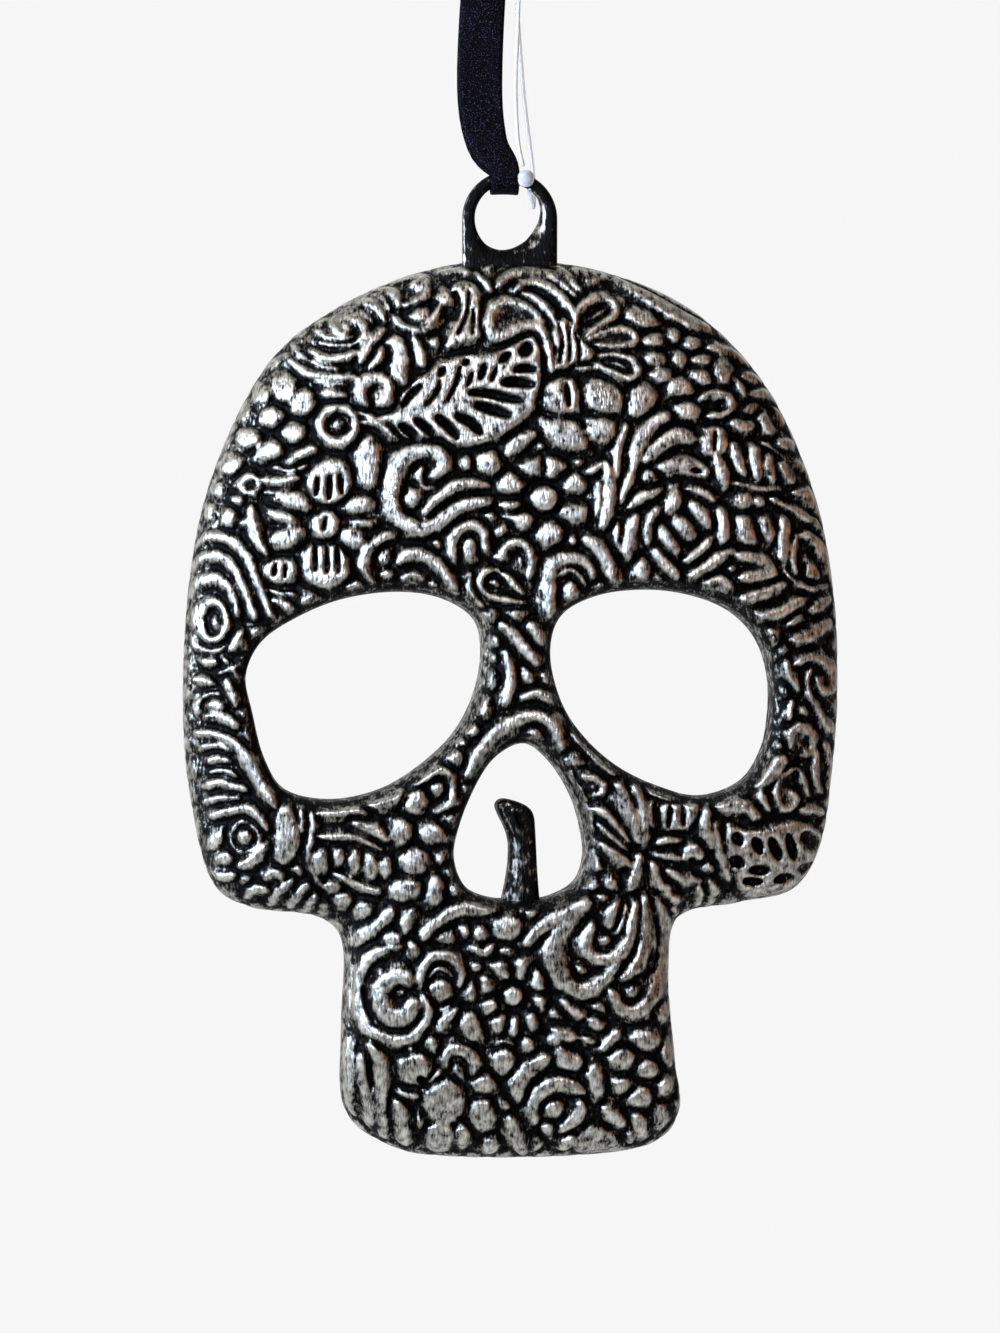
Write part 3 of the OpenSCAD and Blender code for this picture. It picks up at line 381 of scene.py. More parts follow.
# the casting's outlines in shares: hundredths of the height, across from the middle and up from the chin
outlineShare = [
    (0, 100), (11, 98.5), (21, 93.9), (28.8, 85.6), (34, 74), (36.2, 62.6), (36.6, 51.5), (36, 43), (34.7, 34.8),
    (31.6, 29.7), (25.4, 28.2), (18.6, 26.6), (17.4, 20.4), (18.1, 11), (18.6, 4.8), (15.4, 1.2), (7, 0), (-6, 0),
    (-13.4, 1.2), (-18.7, 5.4), (-19.1, 14), (-18.9, 23.4), (-21.6, 26.8), (-29.2, 28), (-33.4, 30.8), (-35.5, 38.4),
    (-36.6, 48.4), (-36.1, 62.6), (-33.6, 75.2), (-27.6, 87.7), (-20, 94.2), (-10, 98.6)]
openings = {
    "leftEye": [(-13.5, 62.9), (-8.4, 62.3), (-4.6, 60), (-3.7, 56.2), (-4.6, 51.4), (-6.9, 47.1), (-10.6, 43.6),
                (-15, 41), (-20.4, 39.9), (-25.4, 41), (-27.8, 44.6), (-29.1, 49.6), (-29.8, 53.6), (-28.2, 57.2),
                (-24.6, 59.8), (-19.4, 62)],
    "rightEye": [(15, 63.2), (20.2, 62.5), (24.4, 60.7), (27.2, 57.7), (28.5, 53.8), (28.6, 49.6), (27.8, 45.4),
                 (25.4, 41.8), (20.8, 40.2), (16, 41.3), (11.4, 43.5), (7.6, 46.8), (5, 50.8), (3.8, 56), (5, 60.2),
                 (9.2, 62.5)],
    "nose": [(0.6, 46.1), (2.4, 45.5), (4.6, 43.2), (6.4, 40), (7.4, 36.6), (7.7, 33.4), (6.6, 30.6), (3.6, 29),
             (0.4, 28.8), (-3, 29), (-5.7, 30.4), (-6.9, 33.6), (-6.3, 37), (-4.9, 40.6), (-3.2, 43.6), (-1.4, 45.3)],
}
outline = evenSteps(smoothLine(place(outlineShare), True), skull["step"], True) - [0, midZ]
rayAngle = np.unwrap(np.arctan2(outline[:, 1], outline[:, 0]))
radius = np.linalg.norm(outline, axis=1)


def rayTo(x, z):
    # how far the outline lies from the middle in a point's direction
    return np.interp(np.arctan2(z - midZ, x), rayAngle[::-1], radius[::-1], period=2 * math.pi)


def shareOut(x, z):
    return np.hypot(x, z - midZ) / rayTo(x, z)


def rise(share):
    # the dome's height over the rear edge: flat in the middle and rounded over at the outline
    past = np.clip((share - skull["flat"]) / (1 - skull["flat"]), 0, 1)
    return skull["side"] + (skull["depth"] - skull["side"]) * (1 - past ** skull["domePower"]) ** skull["domeRoot"]


def smoothStep(low, high, v):
    k = np.clip((v - low) / (high - low), 0, 1)
    return k * k * (3 - 2 * k)


# the relief is drawn as heights on a fine map in millimetres: level is 0 on the ground and about 1 on the ridges;
# grow is how far a form spreads over bare ground, and flank how far its side slopes
relief = {"tall": 1.8, "spread": 1.28, "pitch": 0.15, "grow": 1.15, "flank": 0.85, "gap": 0.02, "base": 0.66,
          "dome": 0.34, "carve": 0.85, "soft": 0.11, "crestOver": 0.8, "halfMap": 48, "past": 1.5, "reach": 2.6,
          "root": 0.55, "ridgePower": 2.4, "beadPower": 2.5, "padEdge": 1.1, "lumps": ((1.6, 1.6), (0.6, 0.9)),
          "lumpy": 0.34, "wipedFrom": 0.22, "wiped": 0.6}
farAway = 9.0
mapX = np.arange(-relief["halfMap"], relief["halfMap"], relief["pitch"])
mapZ = np.arange(chinZ - relief["past"], crownZ + relief["past"], relief["pitch"])
level = np.zeros((len(mapZ), len(mapX)))
carved = np.zeros(level.shape)
nearest = np.full(level.shape, farAway)
second = np.full(level.shape, farAway)


def window(low, high, reach):
    # the part of the map that a form touches
    at = []
    for axis, a, b in ((mapX, low[0], high[0]), (mapZ, low[1], high[1])):
        start = int(np.clip((a - reach - axis[0]) / relief["pitch"], 0, len(axis) - 2))
        stop = int(np.clip((b + reach - axis[0]) / relief["pitch"] + 2, start + 1, len(axis)))
        at.append(slice(start, stop))
    across, up = np.meshgrid(mapX[at[0]], mapZ[at[1]])
    return (at[1], at[0]), across, up


def record(box, away, dome):
    # the distances to the edges of the two nearest forms are kept for every place on the map
    first = nearest[box]
    second[box] = np.where(away < first, np.minimum(second[box], first), np.minimum(second[box], away))
    nearest[box] = np.minimum(first, away)
    level[box] = np.maximum(level[box], dome)


def fromLine(line, half, across, up):
    # the distance to a tapering line's edge, and its share of the half width
    away = np.full(across.shape, farAway)
    part = np.full(across.shape, farAway)
    for a, b, ra, rb in zip(line[:-1], line[1:], half[:-1], half[1:]):
        run = b - a
        k = np.clip(((across - a[0]) * run[0] + (up - a[1]) * run[1]) / max(run @ run, 1e-9), 0, 1)
        gap = np.hypot(across - a[0] - k * run[0], up - a[1] - k * run[1])
        r = ra + (rb - ra) * k
        away = np.minimum(away, gap - r)
        part = np.minimum(part, gap / r)
    return away, part


def fromEdge(edge, across, up):
    # the distance to a closed outline, and what lies inside it
    edge = np.vstack([edge, edge[:1]])
    away, _ = fromLine(edge, np.full(len(edge), 0.001), across, up)
    inside = np.zeros(across.shape, bool)
    for a, b in zip(edge[:-1], edge[1:]):
        if b[1] != a[1]:
            inside ^= ((a[1] > up) != (b[1] > up)) & (across < a[0] + (up - a[1]) * (b[0] - a[0]) / (b[1] - a[1]))
    return away, inside


def domed(part, power):
    return (1 - np.clip(part, 0, 1) ** power) ** relief["root"]


def stroked(points, width, tip):
    line = evenSteps(smoothLine(place(points)), 0.5)
    k = np.linspace(0, 1, len(line))
    half = width * unitZ / 2 * (tip + (1 - tip) * np.sin(math.pi * k) ** 0.5)
    box, across, up = window(line.min(0), line.max(0), half.max() + relief["reach"])
    away, part = fromLine(line, half, across, up)
    return box, away, part


def ridge(points, width, tip=0.5):
    box, away, part = stroked(points, width * relief["spread"], tip)
    record(box, away, min(1, 0.68 + 0.22 * width) * domed(part, relief["ridgePower"]))


def arc(x, z, halfX, halfZ, start, end, width, shrink):
    k = np.linspace(0, 1, max(4, int(abs(end - start) / 18)))
    a = np.radians(start + (end - start) * k)
    now = 1 + (shrink - 1) * k
    ridge(np.column_stack([x + halfX * now * np.cos(a), z + halfZ * now * np.sin(a)]), width, 0.9)


def cut(points, width):
    box, away, part = stroked(points, width, 0.55)
    carved[box] = np.maximum(carved[box], (1 - np.clip(part, 0, 1) ** 3) ** 0.5)


def bead(x, z, halfX, halfZ, turned, tall=1.0):
    mid = place([(x, z)])[0]
    rx, rz = halfX * unitZ * relief["spread"], halfZ * unitZ * relief["spread"]
    box, across, up = window(mid, mid, max(rx, rz) + relief["reach"])
    c, s = math.cos(math.radians(turned)), math.sin(math.radians(turned))
    u, v = (across - mid[0]) * c + (up - mid[1]) * s, -(across - mid[0]) * s + (up - mid[1]) * c
    part = np.hypot(u / rx, v / rz)
    record(box, (part - 1) * min(rx, rz), tall * domed(part, relief["beadPower"]))


def pad(points, tall=1.0):
    edge = smoothLine(place(points), True, 6)
    box, across, up = window(edge.min(0), edge.max(0), relief["reach"])
    away, inside = fromEdge(edge, across, up)
    dome = tall * domed(1 - np.clip(away / relief["padEdge"], 0, 1), relief["ridgePower"])
    record(box, np.where(inside, -away, away), np.where(inside, dome, 0))


# the relief by region, all in shares; a ridge has its width and the points that it runs through
ridges = {
    "spiral": [
        (1.3, -17.6, 90.2, -16.8, 91.2, -17, 92.4, -18.2, 93.1, -19.6, 92.8, -20, 91.9, -19.3, 91.2, -18.6, 91.7,
         -19, 92.2), (0.7, -21.9, 92.3, -20.8, 92.8, -20, 92.6),
        (0.9, -21.9, 91.4, -20.9, 90.9, -19.2, 90.7, -18, 91), (0.8, -22, 90.5, -20.5, 90, -18.6, 89.9, -17.6, 90.3),
        (1.3, -22.7, 89.3, -21.2, 88.5, -19.4, 88.6, -17.6, 89.2), (0.8, -22.8, 88.3, -21.3, 87.5, -19.5, 87.3),
        (1.3, -25.3, 88.9, -24.2, 87.6, -22.6, 86.7, -20.4, 86.4, -17.6, 86.3),
        (0.8, -24.6, 90, -23.9, 88.9, -22.9, 88.2), (0.8, -22.6, 85.9, -20.6, 85.6, -18.6, 85.5),
        (1.1, -27.3, 87.5, -26.4, 87.9, -25.6, 88.8), (0.9, -20.3, 94, -18.2, 93.9, -16.6, 93.3, -15.9, 92.3),
        (1.3, -19.4, 94.8, -16.9, 94.8, -15.2, 94, -14.6, 92.6),
        (0.9, -18.2, 95.4, -16.2, 95.6, -14.6, 95, -14, 93.7), (1.2, -15.8, 96.4, -14.2, 96.2, -13.2, 95.2, -13, 94.2)],
    "forehead left": [
        (1.3, -13.5, 97.1, -11.8, 97.8, -10.2, 97.2, -9.9, 96, -10.9, 95, -12.4, 94.4),
        (1.1, -13.9, 93.4, -12.8, 92.2, -11.2, 91.6, -9.9, 92, -9, 93.4, -8.2, 95),
        (1.1, -11.6, 91.2, -10.9, 89.4, -10.4, 87.4), (0.9, -8.4, 98, -6, 98.1, -4.8, 97.9),
        (1.5, -17.1, 88.2, -16.6, 89.8, -15.6, 91, -14.8, 91.7), (1.2, -16.3, 87.3, -15.3, 88.6, -14.9, 89.8),
        (1.7, -14.2, 90.2, -13.2, 90.2, -12.9, 88.6, -13.2, 86.8, -12.5, 85.8),
        (1.6, -16.8, 83.2, -17.4, 84.4, -17.1, 85.8, -15.8, 86.3, -14.4, 85.8, -13.9, 84.8),
        (0.9, -17.8, 82.6, -15.6, 81.7, -13.2, 81.9), (0.9, -17.6, 81.4, -16, 81.3, -14.7, 80.8, -13.4, 79.6),
        (1.2, -25.2, 76.7, -24, 77.8, -22.4, 78.5), (1.3, -28.2, 75.1, -26.4, 74.8, -24.2, 75.3),
        (0.6, -27.9, 73.7, -26.3, 73.7, -24.4, 74.5), (0.7, -26.6, 76.4, -25, 76, -23.2, 76.6),
        (1.3, -29.4, 72.2, -29.2, 70, -28.6, 68.4, -27.6, 67),
        (1.8, -9.2, 75.5, -8.2, 76.7, -8.9, 78, -11, 78.2, -12.9, 77.2, -13.8, 75.2, -14, 72.8, -13.2, 70.8,
         -11.4, 69.8, -9.4, 70.1, -7.6, 71.3, -5.6, 72.4, -3.4, 72.6),
        (0.6, -10.6, 76.6, -10.9, 75.2, -10.2, 74.1, -8.8, 74.3),
        (1.3, -10.4, 71, -9.6, 72.4, -8, 73.8, -5.8, 74.7, -3.6, 74.6),
        (1.3, -16.2, 63.9, -17, 65.4, -16.7, 67.2, -15.4, 68.4, -13.6, 69.3),
        (1.3, -13.3, 65.9, -12.2, 66.9, -10.4, 66.8, -9, 65.9, -8, 64.6, -7.1, 63.3),
        (0.6, -12.8, 64.3, -11.6, 64.7, -10.4, 64.2),
        (1.3, -7.2, 66.2, -7.3, 68, -6.6, 69.5, -5, 70, -3.8, 69.1, -3.7, 67.4),
        (0.8, -2.1, 65.3, -3.6, 65, -4.3, 63.8, -3.6, 62.6, -1.6, 61.9, 0.6, 61.7),
        (1, -2, 66.3, -1.4, 67.8, 0, 68.3, 1.1, 67.4, 1.3, 65.6, 1.1, 64),
        (0.7, -2.4, 65.2, -1.4, 64.5, -0.4, 63.5, 0.5, 62.4), (0.5, 0.2, 66.8, 0.5, 65.4, 0.9, 64.2),
        (0.6, -5.3, 64.8, -5.3, 63.2, -4.6, 62, -3.9, 61.1)],
    "crown": [
        (0.8, -3.6, 98.2, -1.8, 99.2, 0.4, 99.3, 2, 98.9), (0.6, -1.6, 98.5, -0.2, 98.9, 1.2, 98.8),
        (1.1, -2.3, 96.4, -1, 97.8, 1.4, 98.2, 3.8, 97.9, 5.6, 96.6, 6.7, 95.4), (1, -4.4, 98, -3.4, 97, -2.7, 96),
        (1, 2.6, 99.6, 4.2, 98.8, 6, 97.5, 7.3, 95.9), (1.5, 6.5, 98.4, 8.2, 97.8, 10.2, 98.1),
        (1.2, -0.1, 95.9, 0.8, 97.1, 2.6, 97.2, 4.6, 96, 5.9, 94.4, 6.4, 92.8),
        (1, 0.5, 95.9, 2, 95.2, 3.4, 93.8, 4.4, 92.2),
        (1.3, 3, 92.6, 1.4, 94.2, -0.6, 95, -2.4, 94.5, -3.2, 92.8, -2.7, 91, -1.4, 91.3, 0.4, 92, 2.2, 92.1,
         3.2, 90.6, 3.6, 88.6, 3.8, 87),
        (1.2, 6.3, 91.6, 6.6, 93.6, 7.8, 95.1, 9.6, 95.5, 11, 94.7, 10.8, 93.5, 9, 92.2, 7.4, 90.9),
        (0.5, 8.2, 92.9, 9.4, 93.7, 10.4, 94.5),
        (1, 7.6, 90.5, 10, 91.7, 12.2, 91.9, 13.2, 90.9, 12.4, 90.1, 10, 89.9, 8.6, 90.1),
        (1, 8.8, 88.9, 11, 89, 12.8, 88.4, 13.3, 87.2, 12.4, 86.4, 10.4, 87.1, 8.4, 88.1),
        (0.5, 9.8, 88.2, 11.2, 87.9, 12.4, 87.1), (0.6, 6.4, 87.5, 8.4, 87.6, 10.4, 86.6, 11.8, 85.4),
        (1.5, 11.2, 97.6, 13.6, 96.1, 16.4, 94.4, 19, 93, 21.4, 92.2),
        (1.1, 13, 98.1, 16, 96.5, 18.8, 94.9, 21, 93.8), (0.8, 10.9, 95.7, 12.2, 94.9)],
    "forehead right": [
        (1.3, -1.3, 77.9, -0.2, 79.2, 1.8, 80.3),
        (1, 20.2, 84, 21.4, 84.9, 23.2, 84.7, 23.8, 83.6, 23, 82.6, 21, 82.3),
        (1.3, 23.8, 81.7, 25.2, 81.3, 26.3, 81.4), (1.1, 10.9, 75.4, 10.9, 78.2, 11.9, 81.2),
        (1.8, 12.7, 76.6, 13.4, 79, 14.8, 81.3, 16.6, 82.4), (1.7, 14, 77.2, 15.6, 79, 17.6, 80.1, 19.6, 79.7),
        (1.7, 15.8, 76.6, 18.2, 76.9, 21, 76.1), (0.9, 8.9, 75.2, 8.9, 72.6, 8.6, 70.8),
        (1.6, 9.8, 77, 10.1, 74.8, 10, 72.6, 9.3, 70.2), (0.9, 7.4, 75.9, 8.6, 76.4, 9.6, 77.3),
        (1.1, 13.4, 78, 12.6, 76.2, 11.7, 74, 11.3, 72.6), (1.7, 12.9, 71.2, 12.4, 69, 12, 66.6),
        (0.8, 11, 70.4, 11, 68.4, 11.5, 66.8), (1.6, 7.5, 68.6, 8.8, 67.6, 9.8, 66, 10.4, 64.2),
        (1.5, 3.4, 60.4, 3.4, 62.6, 3.5, 64.6, 4.2, 66, 6, 66.5, 7.7, 65.7, 8.1, 64.5),
        (0.9, 4.3, 64.5, 5.4, 65.2, 6.6, 64.8, 7.2, 63.8), (1.2, 15.6, 72.2, 14.6, 70.8, 14.2, 69.2, 14.4, 68),
        (1.2, 12.3, 72.1, 13.6, 73.3, 15.6, 74.1), (1, 18.7, 74.2, 20.2, 73.8, 21.7, 72.9),
        (1.5, 22.3, 72, 22.8, 70.2, 22.6, 68.2), (1.2, 18.4, 66.2, 20, 67.4, 21.5, 68.9),
        (1.4, 15, 67.6, 16, 66.2, 17.5, 64.7), (1.4, 19.2, 64.7, 20.8, 65.5, 22.6, 66.9, 24, 67.4),
        (1.5, 22, 78, 22.5, 76.4, 23.2, 74.6), (1.3, 23.9, 79.3, 24.5, 77.4, 25.3, 75.7),
        (1.6, 26.5, 79, 26.6, 77, 26.8, 75.3), (1.5, 28, 78.1, 28.1, 76.5, 28.5, 75.1),
        (1.5, 29.4, 77.2, 30.2, 76.2, 30.9, 75.2), (0.9, 23.8, 74.9, 25.4, 74.6, 27.2, 74.3, 29.2, 74.6),
        (0.5, 26.9, 79.5, 28.5, 78.9, 29.8, 77.9, 31.4, 76.4, 31.6, 75.1), (0.9, 31.2, 69.3, 30.7, 67, 31, 64.8),
        (1, 31.4, 69.2, 33, 69.1, 34.4, 67.3, 35.2, 65.2, 35.6, 63.9),
        (0.9, 28.2, 73.2, 30, 72.4, 31.8, 71.6, 33.4, 70.7, 34.6, 69),
        (0.9, 31, 74, 32.6, 73.9, 33.3, 72.5, 34.7, 70.6), (1.1, 31, 77.3, 33.2, 76.1), (1.2, 29.2, 79.3, 31.3, 79.4),
        (1.3, 27.4, 82.5, 28.3, 80.7), (1, 26, 84.9, 28.4, 84.9, 29.8, 84.1), (1, 29.1, 83.2, 29.9, 82),
        (1.1, 21.3, 90.1, 24, 89.4, 26, 88.5), (0.9, 25, 86.9, 27.5, 86.4), (0.9, 24.5, 86.6, 25.6, 84.6),
        (0.9, 31, 81, 31.9, 79.3), (1.4, 24, 66.9, 25.6, 66.8, 27.2, 66.2, 28.7, 65.3),
        (1.5, 24.8, 64.4, 26.8, 64.7, 28.8, 65), (1.3, 25, 62.1, 27.4, 62.8, 29.8, 63.8),
        (1.3, 27.2, 60.2, 29.6, 60.7, 32, 62.1), (1.3, 30.5, 57.5, 33, 58.2, 35, 59.6), (0.8, 30.2, 59.3, 31.6, 60.3),
        (1.1, 33, 60.9, 35, 62), (0.7, 29.4, 65.6, 30.6, 64.3, 32.6, 63.3, 34.8, 63.7),
        (1.1, 20.8, 63.9, 22.4, 64.2, 23.7, 63.4)],
    "bridge": [
        (1.4, -1.8, 59.3, -0.4, 57.9, 0.9, 56.4, 2, 54.8), (1.3, 1.2, 59.5, 2.5, 57.2),
        (1.1, -1.4, 56.2, -0.8, 53.4, -1.4, 50.5), (1, 0.5, 51.2, 2, 51.8, 3.6, 50.8),
        (1.3, -5.6, 42.6, -4.5, 45, -2.8, 47.1, -0.4, 48.6, 2, 49.1, 3.9, 48, 4.8, 45.6),
        (0.6, 6.2, 47.2, 7.5, 45.5, 9.2, 43.9, 10.7, 42.7)],
    "left cheek": [
        (1.2, -35.6, 62.4, -34.8, 63.8, -33.3, 64.3, -31.9, 63.5, -31.2, 62, -30.8, 60.2),
        (1.2, -35.6, 65.3, -34.4, 66.5, -33, 66.8, -31.6, 65.9, -30.6, 64.2, -29.7, 62, -28.9, 59.8),
        (1.2, -35, 67.9, -33.6, 68.9, -31.8, 68.6, -30.2, 67.2, -29.2, 65.4, -28.7, 64, -27.7, 61.8, -27.1, 60.2),
        (1.1, -27, 61.9, -26, 61.6, -25, 61), (0.6, -27.8, 63.1, -26, 62.5, -24.2, 62.5),
        (1.1, -31.7, 56.3, -30.9, 57.3, -30.2, 58.6), (0.8, -35.6, 58.4, -34.8, 56.7, -33, 56.3, -31.9, 57),
        (1.1, -34.8, 55.2, -32.9, 55.2), (0.7, -32.5, 55.7, -31.4, 54.4, -30.4, 53),
        (0.6, -32.7, 53.9, -31.4, 54.4, -30.3, 55), (1, -35.2, 53.2, -33.5, 52.7),
        (1, -31.9, 53.2, -31.6, 51.8, -31, 50.2), (0.6, -35.1, 49.2, -34.8, 50.9, -33.6, 51.6, -32.2, 51.4),
        (1.3, -34.2, 49.2, -32.4, 49.1, -30.8, 48),
        (1.3, -34.8, 47.3, -33, 47, -31.4, 46.3, -30.1, 44.8, -29.2, 43.2, -27.9, 41, -26.6, 39.2),
        (0.8, -34.6, 45.9, -32.8, 46, -31.4, 45.2), (1, -33.9, 44.1, -32.9, 44.5, -31.7, 44.2),
        (0.8, -33.6, 43, -32.2, 43.2, -30.8, 42.4), (1.1, -34.2, 41.4, -32.8, 42, -31.2, 41.5, -29.9, 41.2),
        (0.8, -34.2, 39.8, -32.4, 40.2, -30.6, 40.2),
        (1.1, -33.6, 38.2, -31.7, 38.8, -30, 39.1, -28.7, 38.2, -27.6, 36.8),
        (0.6, -31.5, 36.1, -30.3, 37.6, -28.8, 36.8, -28.4, 35.4, -29.8, 34.2, -31.1, 34.8, -31.5, 36.1),
        (1.3, -30.5, 32.7, -29, 33.6, -27.7, 35.2), (1.1, -27.7, 31.3, -26.5, 32, -25.8, 31),
        (0.8, -33.2, 32, -32, 31.5, -31, 31.8), (2.3, -25.7, 38.9, -25.2, 36.4, -25.8, 33.4),
        (0.8, -23.9, 38.8, -23.7, 37.4, -23.8, 36.2),
        (0.8, -22.6, 38.6, -22.6, 36, -23, 33.8, -22.4, 31.8, -21.2, 30.2),
        (0.9, -22.1, 38.5, -20, 38.6, -17.6, 38.8, -16.8, 38.4),
        (1.3, -17.9, 37.5, -16.6, 36.9, -15.3, 36.3, -14.3, 35.6),
        (0.8, -22.2, 36, -20, 35.9, -18, 35.9, -16.4, 35.3, -15, 34.4),
        (1.1, -20.2, 31.9, -18.6, 31.1, -16.8, 30.3, -15, 29.9), (1.4, -16.3, 39.7, -14.3, 39.9, -12.9, 40.8),
        (0.8, -9, 38.6, -7.6, 39.4, -7.1, 41.4, -7.7, 43, -8.9, 43.2, -10.5, 42.1, -11.6, 41.4),
        (1, -27.2, 28.6, -26.2, 30, -24.9, 31.2), (0.9, -25, 28.3, -24, 29.5, -23, 30.8),
        (0.9, -23.2, 27.9, -22.2, 29.4), (0.9, -29.8, 29.4, -28.6, 30.2, -27.2, 29.9)],
    "right cheek": [
        (1.1, 29.9, 55.2, 30.5, 53.6, 31.2, 52.1),
        (1, 30.7, 54.7, 32, 55.4, 33.4, 55.6, 34.8, 55.1, 35.5, 53.9, 35.5, 52.6, 34.7, 51.8, 33.9, 52.3, 33.5, 53.3),
        (0.7, 32.8, 54.4, 32.4, 53, 32.6, 51.6, 33.6, 50, 34.6, 48.5, 35.8, 46.6),
        (0.6, 30.5, 51, 30.4, 49.6, 30.2, 48.4),
        (1, 30.3, 45.7, 30.4, 47.3, 31.4, 48, 32.8, 47.2, 33.2, 45.8, 32.6, 44.8, 32, 45.4),
        (2, 26.7, 41.6, 28, 42.8, 29.5, 44.3), (1, 33.6, 45.4, 33.4, 43.4, 33.6, 41.6, 34.2, 40.5),
        (0.8, 34.6, 45.8, 35.2, 44, 35.2, 42, 34.8, 40.6),
        (0.8, 31.3, 43.4, 29.8, 42.7, 28.8, 41.4, 28.8, 39.8, 29.8, 38.9, 31, 39.1, 31.2, 40.1, 30.4, 40.6),
        (0.8, 31.3, 43.4, 32, 42, 32.5, 40.4), (0.9, 31.5, 38.6, 33, 38.8, 34.5, 38.2),
        (1.1, 26.9, 41, 27.3, 39.7, 27.9, 38.8), (1.5, 22.3, 39, 24, 39.3, 25.8, 38.7, 26.8, 37.9),
        (1.5, 20.8, 38.8, 20.8, 37, 21.5, 34.6), (1.1, 21.8, 37.4, 22.2, 35, 22.8, 33, 23.7, 31),
        (0.9, 14.4, 41, 16, 40.3, 18, 39.9), (0.8, 14.8, 40, 14.5, 38.6, 14.9, 36.9),
        (1.5, 18.6, 33.7, 19.6, 34.3, 20.2, 33.6), (0.8, 15.2, 33.7, 17.2, 33.6, 19, 33.2),
        (0.8, 15.4, 35.1, 16.6, 35.6, 17.8, 35.4), (1.3, 14.9, 33, 15.5, 31, 16.9, 29.3, 18, 28.3),
        (1.1, 16.6, 32, 18.4, 31, 20.4, 30.8), (1, 20.2, 30.4, 20.6, 29.2, 20.3, 28.2),
        (1, 21.4, 30.8, 21.9, 29.5, 21.6, 28.2), (1.6, 11, 41.5, 12, 39.6, 12.9, 37.2, 13.2, 35.3),
        (1.4, 12.7, 41.3, 13.7, 39.4, 13.9, 37, 13.8, 34.9), (0.6, 10.3, 40.6, 11.4, 38.4, 12.3, 36.6),
        (1.1, 7.9, 39, 9.4, 38.5, 10.9, 37, 12.3, 35.2), (0.8, 8.8, 37.4, 10, 36.2, 12, 34.4),
        (1.2, 9.2, 35, 10.8, 33.9, 12.6, 32.5), (1.3, 13.5, 33.8, 13.1, 32, 12.5, 30.2),
        (0.9, 7, 42.5, 8.6, 42.1, 9.5, 41.1, 8.5, 40.5), (0.8, 5.6, 42.8, 6.6, 41, 7.7, 38.6, 8.3, 36.6),
        (0.9, 8.4, 33.8, 8.6, 32.2), (0.9, 16.2, 30.6, 17.2, 30)],
    "jaw": [
        (1.4, -13, 24, -14.8, 23.6, -16.6, 22.4, -17.7, 20.4, -17.8, 17.8, -16.8, 15.2, -15, 13.9, -13.2, 13.5,
         -11.6, 13.9, -10.3, 15.4, -9.9, 17, -10.5, 18.6), (0.6, -16, 18.4, -15.7, 16.6),
        (0.7, -15.5, 20.6, -14.9, 21.5),
        (1.2, -10.9, 19.2, -10.7, 21, -9.9, 22.5, -8.4, 23, -7, 22.3, -6.3, 20.9, -6.5, 19.6),
        (0.5, -9.7, 20.6, -8.9, 21.6, -7.8, 21.2, -6.9, 20.2), (1.2, -8.9, 14.6, -8, 16, -6.8, 17.1),
        (0.5, -8.7, 16.6, -7.4, 17.5), (1.5, -17.8, 24.2, -16.6, 25.4, -15, 26.6, -14, 28),
        (1.7, -14.4, 24.9, -13.3, 24.7), (1.1, -12.6, 25.2, -12.3, 26.7, -11.7, 28),
        (0.7, -18.4, 22.6, -18, 21.2, -18, 20),
        (1.4, -10.5, 24.8, -9.6, 26, -8, 27.3, -6.2, 28, -4, 27.9, -2.4, 28.1), (1.1, -5.1, 24, -3.9, 23.3, -2.8, 24),
        (1.6, 0.7, 24.3, 2, 25.5, 4, 26.8, 6.2, 28, 7.6, 29),
        (1.9, 7.8, 28.6, 5.4, 26.5, 4, 24.4, 4, 22.2, 5, 20.1, 6.6, 18.9, 8.4, 19.2, 9.9, 20.6, 11, 22),
        (1.6, 8.1, 26.2, 7.5, 24.2, 8, 22.8, 9.6, 22.3, 11.3, 23, 12.3, 24.6, 12.7, 26.6, 13.1, 28.6),
        (1.3, 10.8, 28.6, 10.2, 27.2, 10, 25.9), (0.7, 12.1, 28.4, 11.6, 26.6, 11, 25.1),
        (1.7, 14.1, 29, 14.3, 26.8, 14.2, 24.4, 13.6, 22.4, 12.4, 20.8, 11.5, 20.4),
        (1.7, 15.4, 29, 16.4, 27, 16.7, 24.4, 16.4, 21.4, 15.6, 18.9, 14, 17.1, 12.4, 16.6, 11, 17.2, 10.2, 18.9),
        (0.7, 15.2, 22, 15.3, 24.4, 15.1, 26.6), (1.2, 4.9, 18, 6, 16.8, 7.4, 16.1), (1.2, 7.8, 15.8, 9.1, 14.9),
        (1.5, 3.8, 14.7, 5, 14, 6.4, 13.8), (0.7, 6, 14, 8.6, 13.2), (1.7, 4.6, 12.7, 5, 11.5, 6, 10.9, 6.8, 11),
        (1.2, 9.2, 12.4, 10.3, 13.4, 11, 14.3), (1.4, 9.6, 5.9, 10.8, 4.7, 12, 3.8),
        (1.6, 2, 4.4, 1.7, 6, 2.7, 7.7, 4.6, 8.6, 6.4, 8.1, 7.4, 7.6), (1.3, 7, 6.6, 7, 5.4, 6.2, 4.2, 4.9, 3.3),
        (1.7, 0.1, 6.9, 0.2, 9, 1.5, 10.5, 3.4, 11.6), (1.3, -0.7, 4.8, -0.3, 3, 0.6, 1.6, 1, 0.8),
        (0.5, -2.6, 12.9, -1.4, 13.4, -0.4, 13),
        (1.4, -8, 10.7, -7.9, 11.9, -6.9, 12.5, -5.6, 12.3, -4.8, 11.2, -4.9, 9.8),
        (0.6, -9.9, 8.8, -9, 9.6, -8.4, 10.4), (1.7, -13.3, 6.7, -12.9, 4.6, -12.1, 2.3),
        (0.7, -13.2, 7.7, -12, 7.4, -11, 7.3), (1.4, -17.3, 12, -17.2, 10, -16.7, 8, -16.2, 5.6, -15.8, 4),
